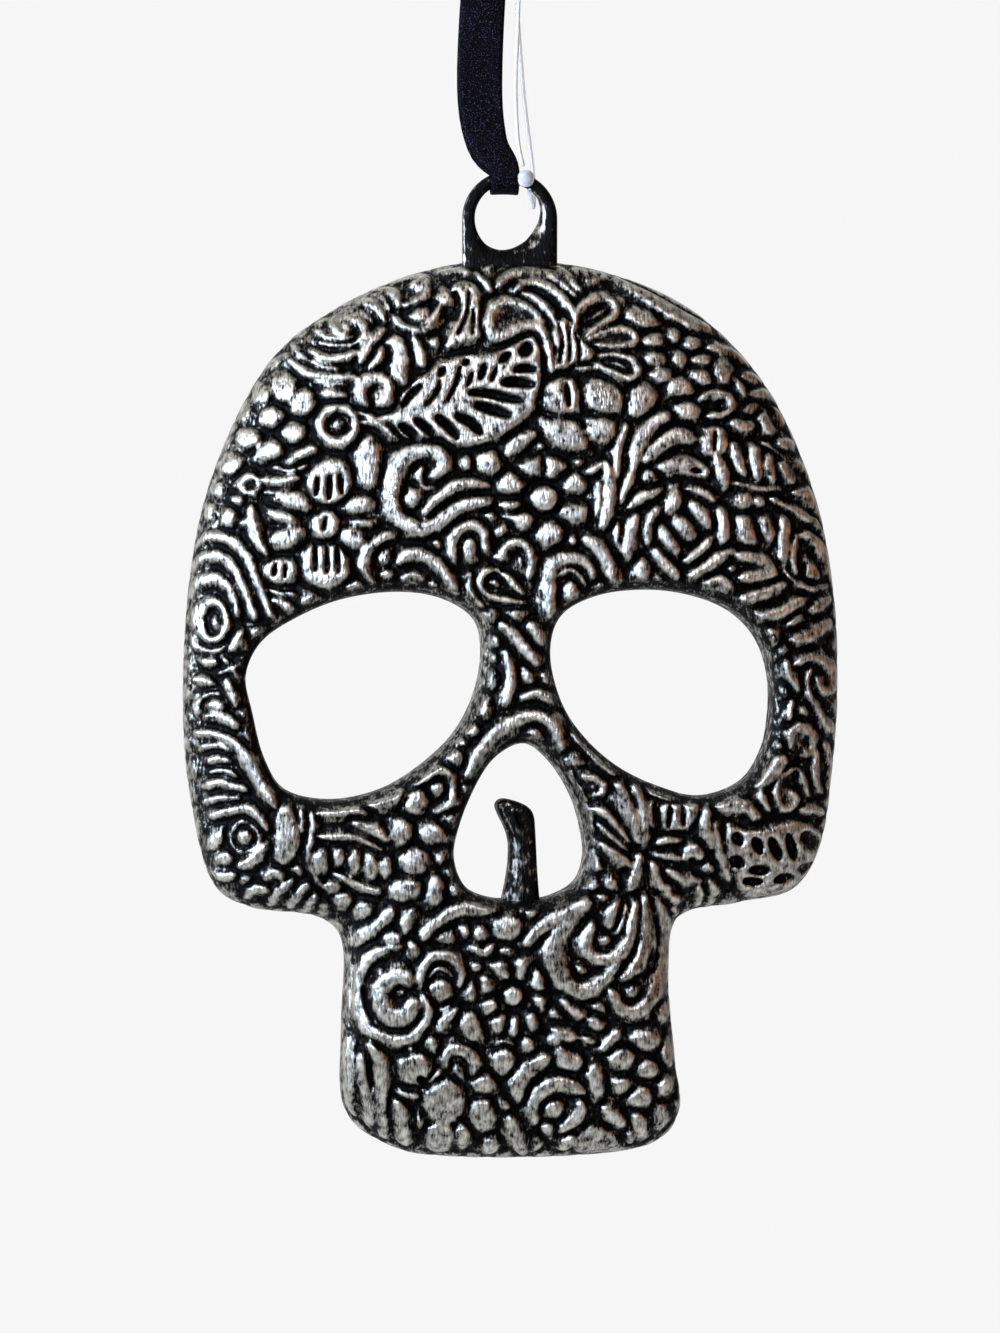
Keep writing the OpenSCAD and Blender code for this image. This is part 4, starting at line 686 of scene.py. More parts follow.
        (1.6, -16.3, 13.2, -15.3, 11.4, -15.2, 8.6, -15, 5.6, -14.2, 2.9),
        (1.1, -18.4, 13.6, -18.3, 10, -18.2, 7, -17.6, 5.2), (0.9, -18.3, 17.6, -18.1, 15.6),
        (1.1, 5.2, 1.5, 6.4, 2.2, 7.2, 1.6), (0.5, -8.6, 4.3, -7.2, 4.5, -6, 4.2), (0.8, 17.6, 27.8, 17.9, 27.2)],
}
# a bead has its place, two half widths and how far it is turned
beads = {
    "forehead left": [
        (-11, 96.6, 0.6, 0.5, 0), (-10.6, 93.3, 1.1, 0.9, 20), (-8, 95.4, 0.9, 1.1, 10), (-14.7, 84.2, 1, 1.2, 0),
        (-20.4, 84.6, 1.4, 0.7, -8), (-25.6, 85.3, 1.3, 1.7, 10), (-28, 84.6, 0.9, 1.3, -5),
        (-23.7, 83.7, 1.4, 1.3, 40), (-29.7, 82.6, 0.8, 1.2, -15), (-29.4, 79.7, 1.2, 1, -20),
        (-27.3, 78.4, 1.3, 1, 15), (-24.8, 80.2, 1.1, 1.1, 0), (-27.1, 82.1, 1.3, 1.1, 0), (-21.9, 81.4, 0.5, 0.8, 0),
        (-31.7, 77, 1, 1.2, 0), (-32.9, 74.2, 0.6, 1, 0), (-33.5, 71.6, 0.6, 0.9, 0), (-31.7, 71, 0.9, 1, 0),
        (-30.7, 72.8, 0.7, 0.6, 0), (-30.1, 70.4, 0.5, 0.6, 0), (-32, 79.2, 0.7, 0.7, 0), (-31, 80.9, 0.6, 0.6, 0),
        (-16.5, 76.8, 1.1, 2.7, 0), (-24.8, 72.8, 2, 1, -20), (-25.5, 70.9, 1.6, 0.7, -25), (-25.3, 68.8, 1.9, 1, 25),
        (-17.4, 72.3, 1.5, 1, 15), (-17.3, 70.3, 1.2, 0.6, 0), (-18.1, 68.7, 1.4, 1.1, -35), (-26.1, 65, 1.7, 1.2, 0),
        (-14.5, 64.8, 0.7, 0.5, 0), (-5.4, 67.6, 0.7, 1.2, 0), (-3.3, 76.9, 1.2, 1.2, 0), (-5.7, 76.9, 0.5, 0.7, 0),
        (2.8, 73.1, 1.35, 1.3, 0)],
    "forehead right": [
        (4.8, 84.3, 1.8, 1.8, 0), (9.5, 84.3, 2, 1.6, -25), (5.3, 80.2, 2.4, 1.4, -25), (9.2, 80.6, 1.5, 1.4, 0),
        (13.7, 84.1, 1.3, 1.8, -25), (18.9, 82.9, 1.3, 0.9, 0), (15.2, 90.7, 1.3, 0.8, 5), (17.5, 91.3, 0.8, 0.9, 0),
        (19.5, 90.4, 1.1, 0.8, -5), (15.3, 88.6, 1.2, 0.9, -15), (18, 88.7, 0.9, 1, 0), (20.6, 88.6, 1.3, 0.7, 5),
        (20.5, 86.7, 1.2, 0.9, -30), (16, 86.8, 1.2, 0.9, 10), (18, 85.6, 1.4, 1, -5), (23, 87.6, 1, 1.5, 0),
        (13.7, 93.4, 1.8, 1.1, -20), (5.8, 62.9, 0.7, 1.1, 0), (13.7, 65.1, 0.8, 1.2, 0), (18.3, 69.9, 0.9, 1.6, 40),
        (17.1, 72.6, 0.9, 1.4, -20), (20.3, 71.4, 0.8, 1.8, 35), (16.7, 68.4, 0.8, 1.8, 30),
        (21.8, 79.4, 1.5, 1.5, 10), (25, 73, 1.1, 1, 20), (26.8, 72.9, 0.7, 0.7, 0), (25.3, 69.7, 1, 1.7, 20),
        (27.8, 69.8, 0.8, 1.5, 25), (29.7, 68.5, 0.8, 2.7, 0), (22.9, 83, 0.2, 0.2, 0)],
    "bridge": [(-6.3, 46.3, 0.5, 0.4, 0), (1.6, 45.2, 0.4, 0.4, 0)],
    "left cheek": [
        (-33, 59.3, 0.4, 0.9, 0), (-33.1, 50.3, 1, 0.8, 0), (-30, 36, 0.8, 0.9, 0), (-32.2, 33.6, 0.8, 0.7, 0),
        (-33, 35.4, 0.5, 1.1, -20), (-21.7, 33.2, 0.9, 1.4, 0), (-19.7, 33.6, 0.7, 1, 0), (-18, 32.9, 0.8, 1.4, 0),
        (-16.2, 32.6, 0.9, 1.4, 0), (-14.7, 32.6, 0.7, 1.1, 0), (-20.3, 30.4, 0.9, 0.7, 0),
        (-19.2, 28.9, 0.9, 0.9, 0), (-17, 27.8, 0.9, 0.9, 0), (-12.9, 36.4, 1.1, 1.3, -10), (-9.6, 36.3, 1.2, 1, 10),
        (-11.5, 33.2, 1.3, 1.4, 0), (-12.5, 30.2, 1.6, 1.1, 15), (-9.2, 30, 0.8, 1.5, 0), (-8.6, 33.4, 0.3, 0.5, 0),
        (-11.3, 39.9, 0.9, 1.3, -20), (-35, 36.6, 0.4, 1, -10)],
    "right cheek": [(26.2, 37.9, 0.6, 0.5, 0), (8.3, 41.3, 0.3, 0.3, 0)],
    "jaw": [
        (-8.6, 19.1, 1.1, 1.1, 0), (-5.2, 15, 0.9, 1.6, 15), (-5.9, 25.5, 0.6, 0.7, 0), (-4.2, 25.3, 0.8, 0.9, 0),
        (-1.2, 25.9, 1.5, 1.2, 0), (-0.6, 18.4, 0.9, 1, 0), (-1.6, 11.2, 1.1, 1.3, 0), (-3.8, 8.6, 1.1, 1, 0),
        (-3.9, 5.2, 1.2, 1.6, 0), (-8, 6.6, 1.9, 2.1, 0), (-8.3, 2.8, 1.4, 1.5, 0), (-6, 2.9, 0.8, 1.1, 0),
        (-11.3, 10.5, 1.5, 1.5, 0), (4, 5.7, 0.9, 0.9, 0), (3.5, 3.4, 0.7, 0.7, 0), (8.6, 8.6, 0.8, 1.9, 5),
        (11.6, 11.3, 1.2, 1.1, 0), (14.4, 13.3, 1.5, 0.9, -5), (14.5, 10.1, 1.1, 0.8, -10), (16.9, 12, 0.8, 1.4, 0),
        (11.6, 8.3, 0.9, 0.8, 0), (13.6, 6.8, 1.1, 1, 0), (16.6, 8, 0.7, 1, -20), (13.7, 3.7, 0.8, 1.3, 15),
        (12.8, 2.5, 0.5, 0.6, 0), (-12.7, 19, 0.3, 0.3, 0), (-11.8, 12.6, 0.4, 0.4, 0), (4.1, 13.6, 0.7, 1, 0),
        (16.4, 16.4, 0.8, 0.8, 0), (-2.8, 1.6, 0.7, 0.7, 0)],
}
# the petals of the two daisies, as outlines
petals = [
    (0.16, 76.4, 0.7, 77.2, 1.8, 77.6, 2.66, 77.6, 2.6, 74.9, 1.9, 75.5, 0.9, 75.5),
    (2.92, 77.6, 4, 77.5, 5.1, 77, 5.4, 76.4, 4.5, 75.9, 3.5, 74.9, 2.96, 74.9),
    (5.1, 74.5, 5.6, 75.6, 6.5, 76.1, 7.5, 75.3, 7.5, 74.2, 6.2, 73.8, 5.1, 73.9),
    (4.5, 72.3, 7.6, 72.3, 7.7, 71.2, 6.8, 70.2, 5.8, 70.3, 4.8, 71.2),
    (2, 69.4, 3, 70.6, 4, 70.6, 5, 69.4, 4.7, 68.4, 3.1, 67.6, 2.1, 68.3),
    (-1.7, 71.2, -0.8, 71.5, 0.7, 71.6, 1.7, 71.4, 1.5, 70.3, 0.3, 69.2, -0.8, 70.2),
    (-2.1, 72.6, -1.1, 72.9, 0.2, 72.6, -0.1, 71.8, -1.3, 71.5, -1.8, 71.8),
    (-2.3, 74.4, -1.9, 75.6, -0.9, 76, 0.1, 75.4, 0.7, 74.4, -0.2, 73.6, -1.6, 73.5),
    (-0.3, 22.8, 0.8, 22.8, 1.1, 22.2, 0.5, 20.2, -0.2, 20.2, -0.4, 21.6),
    (2, 21.3, 2.8, 20.6, 2.9, 19, 2, 18.9, 1.4, 19.4, 1.6, 20.4), (1.8, 18.4, 2.9, 18.4, 3.2, 17, 2.8, 16.3, 2, 17),
    (0.8, 16.2, 1.9, 16.7, 2.1, 15.4, 1.6, 14.3, 1.1, 14.6),
    (-0.8, 16, 0, 16, 0, 14.4, -0.3, 13.6, -1.1, 14, -1.1, 14.8),
    (-3.2, 16, -2.2, 16.4, -1.3, 16.2, -1.4, 15.2, -2, 14.2, -3, 14.8),
    (-4.2, 17.6, -3.4, 18.2, -2.2, 18, -2.4, 16.8, -3.4, 16, -3.9, 16.4),
    (-4.2, 20.6, -3.5, 20.8, -2.8, 19.6, -3.2, 18.7, -4.1, 18.7, -4.3, 19.6),
    (-3.2, 22, -1.6, 22.4, -1, 21.6, -1, 20.2, -2, 20.4, -2.9, 21.2)]
# the groove round each daisy's middle: its place, radius and width
eyelets = [(2.8, 73.1, 1.9, 0.8), (-0.6, 18.4, 1.5, 0.8)]
# raised patches that take cuts: the large leaf, two petals of the ribbed flower, the fan's stem, the
# slotted leaf on the cheek; a height and an outline each
pads = [
    (0.95, -15.6, 82.2, -13.6, 82.9, -12.3, 85, -10.3, 87, -7.6, 88.4, -4.6, 89, -2, 89.4, -0.4, 90.2, 1.6, 91.2,
     2.5, 90, 2.7, 87, 2.4, 84.4, 1.4, 82.4, -0.6, 80.6, -2.6, 79.4, -5.4, 78.6, -7.4, 79, -8.8, 79.8, -10.6, 79.3,
     -12.2, 79.6, -13.3, 80.2, -14.4, 81.2),
    (1, -7.2, 96.9, -5.6, 97.5, -4.2, 96.8, -3.8, 95, -4, 92.5, -3.9, 90.8, -6, 90, -8, 89.5, -7.5, 91.4, -6.3, 93.2,
     -6.3, 95.2, -7.4, 96),
    (1, -23.3, 75.6, -22.2, 76.9, -20.4, 77.4, -18.8, 76.8, -18.2, 75, -18.8, 73.2, -20.2, 72.4, -21.8, 72.2,
     -23, 73.4),
    (1, -23.8, 66.2, -23, 67.8, -21.3, 68, -19.6, 67.8, -18.6, 66.2, -18.7, 64.2, -20.4, 63.2, -22.6, 63.2,
     -23.8, 64.4),
    (1, -23, 70.2, -22.4, 71.4, -21, 71.9, -19.8, 71.2, -19.4, 69.8, -20.2, 68.7, -21.6, 68.4, -22.7, 69),
    (0.9, 3.9, 87, 4.1, 89.2, 3.5, 91.4, 4.6, 93.2, 5.9, 93, 7, 91.2, 8.8, 89.5, 8.2, 88.2, 6.6, 87.9),
    (1, 15.9, 39.6, 17.6, 39.7, 20.1, 39.4, 20, 38, 18.8, 36.8, 17, 36.4, 16.1, 36.6, 15.7, 38),
    (0.75, 23.4, 37, 24.6, 36.5, 27, 36.6, 29, 37, 31, 37.5, 33, 36.9, 34.8, 35.4, 35, 34, 34.4, 32.6, 32.8, 31.3,
     31, 30.1, 28.8, 29.3, 26.4, 29.1, 24.8, 30, 23.6, 32, 22.9, 34, 22.9, 36),
    (0.5, 6.6, 2.2, 8, 3.6, 10, 3.4, 12.2, 1.6, 13.4, 1.2, 11.4, 0.6, 7, 0.6)]
# what is carved into the patches and the broad ridges: a width and the points of each cut
cuts = [
    (0.8, -12.7, 83.2, -11.8, 84.5, -10.7, 85.4), (0.7, -8.6, 86.6, -8.2, 87.3), (0.6, -5.9, 87.9, -5.5, 88.2),
    (0.7, -4.2, 86.3, -3.7, 87.7), (0.9, -1.9, 88.2, -1, 89), (1.5, 0.6, 89.1, 1.2, 89.9),
    (1, -0.3, 87.2, 0.7, 87.4, 1.8, 87.3), (1.2, -1.6, 85.8, -0.2, 85.9, 1.6, 85.6),
    (1, -5.2, 84.7, -3.4, 84.6, -1.6, 84.2, 0.4, 83.8), (1.2, -4.6, 83.3, -2.8, 82.8, -1, 82.2),
    (1.1, -12.9, 81, -12, 80.4, -11.3, 79.7), (1, -11.2, 81.6, -10.2, 80.8, -9.4, 80),
    (1.1, -8.9, 81.9, -7.7, 80.9, -6.8, 79.8), (1.1, -6.7, 82.1, -5.3, 81.4, -4.2, 80.3),
    (0.4, -10, 83.4, -8.9, 84.9, -8.6, 86), (0.4, -7.8, 83.9, -6.9, 85.6, -6.4, 87.4), (0.4, -5.6, 85.4, -5, 86.9),
    (0.4, -3, 86, -2.4, 87.4), (0.4, -5.3, 96, -5.5, 93.6, -6.6, 91.2), (0.35, -4.8, 94, -5, 91.2),
    (0.7, -20.8, 73, -20.7, 75.4), (0.5, -22.2, 73.4, -22, 75.2), (0.6, -19.4, 73.6, -19.6, 75.6),
    (0.6, -22.3, 65.2, -22.3, 67.8), (0.6, -21, 65, -21, 67.9), (0.6, -19.8, 65, -19.9, 67.6),
    (0.5, -21.4, 69.6, -21.1, 70.9), (0.5, -26.8, 64.6, -26.6, 65.8), (0.4, -25.6, 64.4, -25.5, 65.8),
    (0.35, 4.6, 88, 4.9, 90.4, 4.6, 92.4), (0.35, 5.7, 88.2, 5.8, 90.4, 5.6, 92.4),
    (0.35, 6.8, 88.3, 6.8, 90, 6.4, 91.4), (0.6, 16.6, 36.9, 16.8, 39.2), (0.5, 18.3, 37.1, 18.2, 39.3),
    (1.3, 24.1, 35.9, 24.7, 35.2), (1.3, 26.3, 35.4, 27, 34.2), (1.2, 28.2, 35.4, 29.2, 33.4),
    (1.1, 30.2, 35.8, 31, 33.4), (1.8, 32.2, 35.8, 33.6, 34.6), (1.4, 23.9, 33.2, 24.9, 32.8),
    (1.2, 26.1, 32, 27.8, 32), (1, 25.4, 30.8, 27.2, 30.7), (1.1, 29, 30.9, 30.6, 31.2), (1, 31.8, 32, 33.2, 32.6),
    (0.6, 33, 66.9, 33, 67.9), (0.8, -10.8, 9.4, -10.5, 9.1), (0.5, 7.2, 98.2, 7.4, 97.4),
    (0.5, 8.3, 98.2, 8.4, 97.4), (0.5, 9.4, 98.3, 9.3, 97.6), (0.5, -16.4, 11.7, -16.2, 9.6, -16, 8.2),
    (0.4, 21.9, 80.6, 21.8, 78.6), (0.45, 32, 64.6, 32.2, 66.2), (0.7, 5.3, 85.6, 5.6, 83.4),
    (0.5, 19.2, 76.3, 20.4, 76.1)]
# rings and part rings: a place, two half widths, where it starts and ends, its width and how far it shrinks
arcs = [
    (-19.8, 81.1, 1.95, 1.85, 0, 360, 1.2, 1), (-29.4, 74.5, 1.05, 0.95, 0, 360, 0.8, 1),
    (-33.5, 59.6, 1.5, 2.1, 0, 360, 1, 1), (-13.3, 18.3, 2.1, 2.4, 55, 340, 1.8, 0.95)]


def pairs(flat):
    return list(zip(flat[::2], flat[1::2]))


for region in ridges.values():
    for width, *flat in region:
        ridge(pairs(flat), width)
for region in beads.values():
    for values in region:
        bead(*values)
for values in arcs:
    arc(*values)
for tall, *flat in pads:
    pad(pairs(flat), tall)
for flat in petals:
    pad(pairs(flat))
for width, *flat in cuts:
    cut(pairs(flat), width)
for x, z, r, width in eyelets:
    cut([(x + r * math.cos(k * math.pi / 8), z + r * math.sin(k * math.pi / 8)) for k in range(18)], width)
print("relief drawn, ground left", round(float((nearest > 0).mean()), 2))

# low pebbles fill what is left between the motifs, the widest place first; lengths in millimetres
pebble = {"most": 400, "room": 1.15, "gap": 0.7, "largest": 0.9, "fromOpening": 1.1, "seed": 11}
chance = np.random.default_rng(pebble["seed"])
acrossMap, upMap = np.meshgrid(mapX, mapZ)
blocked = np.where(shareOut(acrossMap, upMap) < 1.0, 0, farAway)
for points in openings.values():
    edge = smoothLine(place(points), True, 6)
    box, across, up = window(edge.min(0), edge.max(0), 3)
    away, inside = fromEdge(edge, across, up)
    blocked[box] = np.where(inside | (away < pebble["fromOpening"]), farAway, blocked[box])
pebbles = 0
while pebbles < pebble["most"]:
    free = nearest - blocked
    at = np.unravel_index(np.argmax(free), free.shape)
    if free[at] < pebble["room"]:
        break
    r = min(free[at] - pebble["gap"], pebble["largest"]) * (0.8 + 0.4 * chance.random()) / unitZ
    bead(mapX[at[1]] / unitX, (mapZ[at[0]] - chinZ) / unitZ, r, r * (0.9 + 0.9 * chance.random()),
         chance.random() * 180, 0.35 + 0.3 * chance.random())
    blocked[at] = farAway
    pebbles += 1


def blurred(values, size):
    # a Gaussian blur of that many millimetres
    fx = np.fft.fftfreq(values.shape[1], relief["pitch"])
    fz = np.fft.fftfreq(values.shape[0], relief["pitch"])
    keep = np.exp(-2 * (math.pi * size) ** 2 * (fx[None, :] ** 2 + fz[:, None] ** 2))
    return np.fft.ifft2(np.fft.fft2(values) * keep).real


# the uneven skin of a hand-finished casting, as broad and small lumps
lumps = sum(blurred(chance.standard_normal(level.shape), size) * size * amount for size, amount in relief["lumps"])
# every form spreads over the ground until it nearly meets its neighbour
free = np.minimum((second - nearest) / 2 - relief["gap"], relief["grow"] - nearest)
free = np.where(nearest < 0, np.maximum(free, -nearest), free)
flank = (1 - (1 - np.clip(free / relief["flank"], 0, 1)) ** 2) ** 0.5
level = flank * (relief["base"] + relief["dome"] * np.clip(level, 0, 1.1)) * (1 - relief["carve"] * carved)
level = blurred(level, relief["soft"])
# the cloth wipes what stands high, and most of all what stands higher than its surroundings
crest = level - blurred(level, relief["crestOver"])
burnish = np.clip(smoothStep(relief["wipedFrom"], 1, level) * relief["wiped"] + crest, 0, 1)
height = level * relief["tall"] + lumps * relief["lumpy"] * np.clip(level, 0, 1)


def sample(field, x, z):
    u = np.clip((np.asarray(x) - mapX[0]) / relief["pitch"], 0, len(mapX) - 1.001)
    v = np.clip((np.asarray(z) - mapZ[0]) / relief["pitch"], 0, len(mapZ) - 1.001)
    i, j = u.astype(int), v.astype(int)
    p, q = u - i, v - j
    lower = field[j, i] * (1 - p) + field[j, i + 1] * p
    upper = field[j + 1, i] * (1 - p) + field[j + 1, i + 1] * p
    return lower * (1 - q) + upper * q


print("pebbles", pebbles, "lumps", round(float(lumps.std()), 3))


# the casting as one closed mesh: strips round the rim and the openings, and fine sheets between them
class Shell:
    def __init__(self):
        self.points, self.faces, self.shine, self.count = [], [], [], 0

    def add(self, xyz, shine):
        xyz = np.asarray(xyz, float).reshape(-1, 3)
        self.points.append(xyz)
        self.shine.append(np.broadcast_to(shine, len(xyz)))
        self.count += len(xyz)
        return np.arange(self.count - len(xyz), self.count)

    def row(self, plan, y, shine):
        return self.add(np.column_stack([plan[:, 0], np.broadcast_to(y, len(plan)), plan[:, 1]]), shine)

    def strip(self, rows):
        for a, b in zip(rows[:-1], rows[1:]):
            c, d = np.roll(a, -1), np.roll(b, -1)
            self.faces.extend(np.column_stack([a, c, d, b]).tolist())


def outwardOf(loop, mid):
    # the sideways direction at every point of a loop, away from its middle
    run = np.roll(loop, -1, 0) - np.roll(loop, 1, 0)
    out = unit(np.column_stack([-run[:, 1], run[:, 0]]))
    return out * np.sign(np.sum(out * (loop - mid), axis=1))[:, None]


def boundaryOf(cells):
    # the grid edges used by one kept cell only, as pairs of (row, column) corners
    framed = np.pad(cells, 1)
    j, i = np.nonzero(framed[1:, 1:-1] != framed[:-1, 1:-1])
    edges = [((r, c), (r, c + 1)) for r, c in zip(j.tolist(), i.tolist())]
    j, i = np.nonzero(framed[1:-1, 1:] != framed[1:-1, :-1])
    return edges + [((r, c), (r + 1, c)) for r, c in zip(j.tolist(), i.tolist())]


def fillSheet(shell, outer, holes, step, limit, lift):
    # outer and holes are (plan points, indices); limit is the share that the outer loop lies at;
    # lift gives positions and shine for plan points inside
    low, high = outer[0].min(0), outer[0].max(0)
    gx, gz = np.arange(low[0], high[0] + step, step), np.arange(low[1], high[1] + step, step)
    across, up = np.meshgrid(gx, gz)
    margin = 0.7 * step / 45  # the outline's usual radius is 45
    good = shareOut(across, up) < limit - margin
    for plan, _ in holes:
        mid = plan.mean(0)
        grown = plan + (plan - mid) / np.linalg.norm(plan - mid, axis=1)[:, None] * step * 0.75
        inside = np.zeros(good.shape, bool)
        for a, b in zip(grown, np.roll(grown, -1, 0)):
            if a[1] != b[1]:
                rows = slice(*np.searchsorted(gz, sorted((a[1], b[1]))))
                inside[rows] ^= across[rows] < a[0] + (up[rows] - a[1]) * (b[0] - a[0]) / (b[1] - a[1])
        good &= ~inside
    cells = good[1:, 1:] & good[1:, :-1] & good[:-1, 1:] & good[:-1, :-1]
    used = np.zeros(good.shape, bool)
    for dj in (0, 1):
        for di in (0, 1):
            used[dj:dj + cells.shape[0], di:di + cells.shape[1]] |= cells
    index = np.full(good.shape, -1)
    plan = np.column_stack([across[used], up[used]])
    index[used] = shell.add(*lift(plan[:, 0], plan[:, 1]))
    j, i = np.nonzero(cells)
    corners = [index[j, i], index[j, i + 1], index[j + 1, i + 1], index[j + 1, i]]
    shell.faces.extend(np.column_stack(corners).tolist())
    # the band between the grid and the loops
    edges = boundaryOf(cells)
    corner = sorted({c for e in edges for c in e})
    number = {c: k for k, c in enumerate(corner)}
    plans = [np.array([(gx[c], gz[r]) for r, c in corner])]
    ids = [np.array([index[c] for c in corner])]
    links = [(number[a], number[b]) for a, b in edges]
    total = len(corner)
    for plan, at in [outer] + holes:
        links += [(total + k, total + (k + 1) % len(plan)) for k in range(len(plan))]
        plans.append(plan)
        ids.append(at)
        total += len(plan)
    plans, ids = np.vstack(plans), np.concatenate(ids)
    found = delaunay_2d_cdt([Vector(p) for p in plans.tolist()], links, [], 0, 1e-6)
    source = [o[0] for o in found[3]]
    faces = found[2]
    walls = {tuple(sorted(e)) for e in links}
    beside = {}
    for k, f in enumerate(faces):
        for a, b in zip(f, f[1:] + f[:1]):
            beside.setdefault(tuple(sorted((source[a], source[b]))), []).append(k)
    # the triangles are kept that can be reached from the grid's edge without crossing a wall
    wallsOfGrid = {tuple(sorted(e)) for e in links[:len(edges)]}
    queue = []
    for e in wallsOfGrid:
        for k in beside.get(e, []):
            mid = np.mean([plans[source[v]] for v in faces[k]], axis=0)
            i, j = int((mid[0] - gx[0]) / step), int((mid[1] - gz[0]) / step)
            if not (0 <= j < cells.shape[0] and 0 <= i < cells.shape[1] and cells[j, i]):
                queue.append(k)
    kept = set(queue)
    while queue:
        f = faces[queue.pop()]
        for a, b in zip(f, f[1:] + f[:1]):
            e = tuple(sorted((source[a], source[b])))
            if e not in walls:
                for k in beside[e]:
                    if k not in kept:
                        kept.add(k)
                        queue.append(k)
    shell.faces.extend([ids[source[v]] for v in faces[k]] for k in kept)
    return len(plans), len(kept)


def frontAt(x, z):
    return skull["rimY"] - rise(shareOut(x, z))


# the solid place behind the crown that carries the ring, in millimetres
block = {"middle": -0.6, "half": 9.3, "down": 7.3, "back": 2.4, "edge": 0.8}


def backAt(x, z):
    share = np.clip(np.hypot(x, z - midZ) / (rayTo(x, z) - skull["wall"]), 0, 1)
    y = skull["rimY"] - rise(share) + skull["wall"]
    filled = smoothStep(0, block["edge"], block["half"] - np.abs(x - block["middle"]))
    filled = filled * smoothStep(0, block["edge"], z - crownZ + block["down"])
    return y + filled * np.maximum(0, block["back"] - y)


# the rim: 18 rows over the rounded edge, then down the side as (depth, how much relief shows), round the rear edge as
# (how far in, depth) and into the hollow as shares of the inner wall
rim = {
    "from": 0.95, "rows": 18, "usualRadius": 52, "dark": 0.08, "bright": 0.26, "faded": 0.08, "fadeOver": 3,
    "side": [(2.8, 0.7), (3.3, 0.35), (4.0, 0.1), (4.8, 0.0), (5.25, 0.0)], "sideShine": 0.42,
    "rear": [(0.1, 5.5), (0.4, 5.6), (2.0, 5.6), (2.3, 5.45)], "rearShine": 0.4,
    "hollow": [1.0, 0.9975, 0.993, 0.986, 0.977, 0.967, 0.955], "hollowShine": 0.13,
}
shell = Shell()
upMid = np.array([0, midZ])
normal = outwardOf(outline, 0)
facing = np.clip(np.sum(normal * outline, axis=1) / radius, 0.35, 1)
fine = np.linspace(rim["from"], 1, 400)
length = np.concatenate([[0], np.cumsum(np.hypot(np.diff(fine) * rim["usualRadius"], np.diff(rise(fine))))])
# the rounded edge is painted lighter where it faces left and up, towards the key lamp: a painted highlight
rimPaintedLight = rim["dark"] + rim["bright"] * np.clip(-normal[:, 0] + 0.5 * normal[:, 1], 0, 1)
rows = []
for share in np.interp(np.linspace(0, length[-1], rim["rows"]), length, fine):
    x, z = outline[:, 0] * share, outline[:, 1] * share + midZ
    # the relief stands square to the surface, which turns outward towards the edge
    near = min(share, 0.9985)
    slope = (rise(near) - rise(near + 0.0005)) / 0.0005 / (radius * facing) * smoothStep(rim["from"], 0.975, share)
    out = unit(np.column_stack([normal[:, 0] * slope, -np.ones(len(x)), normal[:, 1] * slope]))
    inFromEdge = (1 - share) * radius * facing
    tall = sample(height, x, z) * (rim["faded"] + (1 - rim["faded"]) * smoothStep(0, rim["fadeOver"], inFromEdge))
    face = np.column_stack([x, frontAt(x, z), z])
    rows.append(shell.add(face + out * tall[:, None], np.maximum(sample(burnish, x, z), rimPaintedLight)))
rimLoop = outline + upMid
edgeTall = sample(height, rimLoop[:, 0], rimLoop[:, 1]) * rim["faded"]
edgeShine = sample(burnish, rimLoop[:, 0], rimLoop[:, 1])
for y, keep in rim["side"]:
    shine = edgeShine * keep * 0.6 + rim["sideShine"] * (1 - keep * 0.6)
    rows.append(shell.row(rimLoop + normal * (edgeTall * keep)[:, None], y, shine))
for inset, y in rim["rear"]:
    rows.append(shell.row(outline * (1 - inset / radius)[:, None] + upMid, y, rim["rearShine"]))
for share in rim["hollow"]:
    p = outline * (share * (1 - skull["wall"] / radius))[:, None]
    hollowPlan = p + upMid
    y = backAt(p[:, 0] * 0.9999, p[:, 1] * 0.9999 + midZ)
    if share == 1:
        y = skull["rimY"] - skull["side"] + skull["wall"] + 0.1
    rows.append(shell.row(hollowPlan, y, rim["hollowShine"]))
shell.strip(rows)

# the openings: rows from the face over a rolled lip, which is wider at its right and below, down the wall to a collar
# and back to the hollow; "out" is the distance from the edge, "wall" and "floor" are shares of the way, and "collar"
# has how far out and how far behind the wall's end
lip = {
    "out": (2.4, 2.15, 1.9, 1.65, 1.4, 1.15, 0.92, 0.7, 0.5, 0.33, 0.2, 0.1, 0.03, 0), "round": 2.6,
    "band": 0.95, "bandRight": 0.95, "bandBelow": 0.25, "seam": 0.12, "seamWide": 0.35, "reliefFrom": (0.45, 1.5),
    "wall": (0.12, 0.3, 0.5, 0.7, 0.88, 0.96), "collar": ((0.12, 0), (0.5, 0.02), (1.2, 0), (1.6, -0.12), (1.75, -0.5)),
    "floor": (0.35, 0.65, 0.9), "dark": 0.08, "shine": {"leftEye": 0.4, "rightEye": 0.16, "nose": 0.34},
}
frontHoles, backHoles = [], []
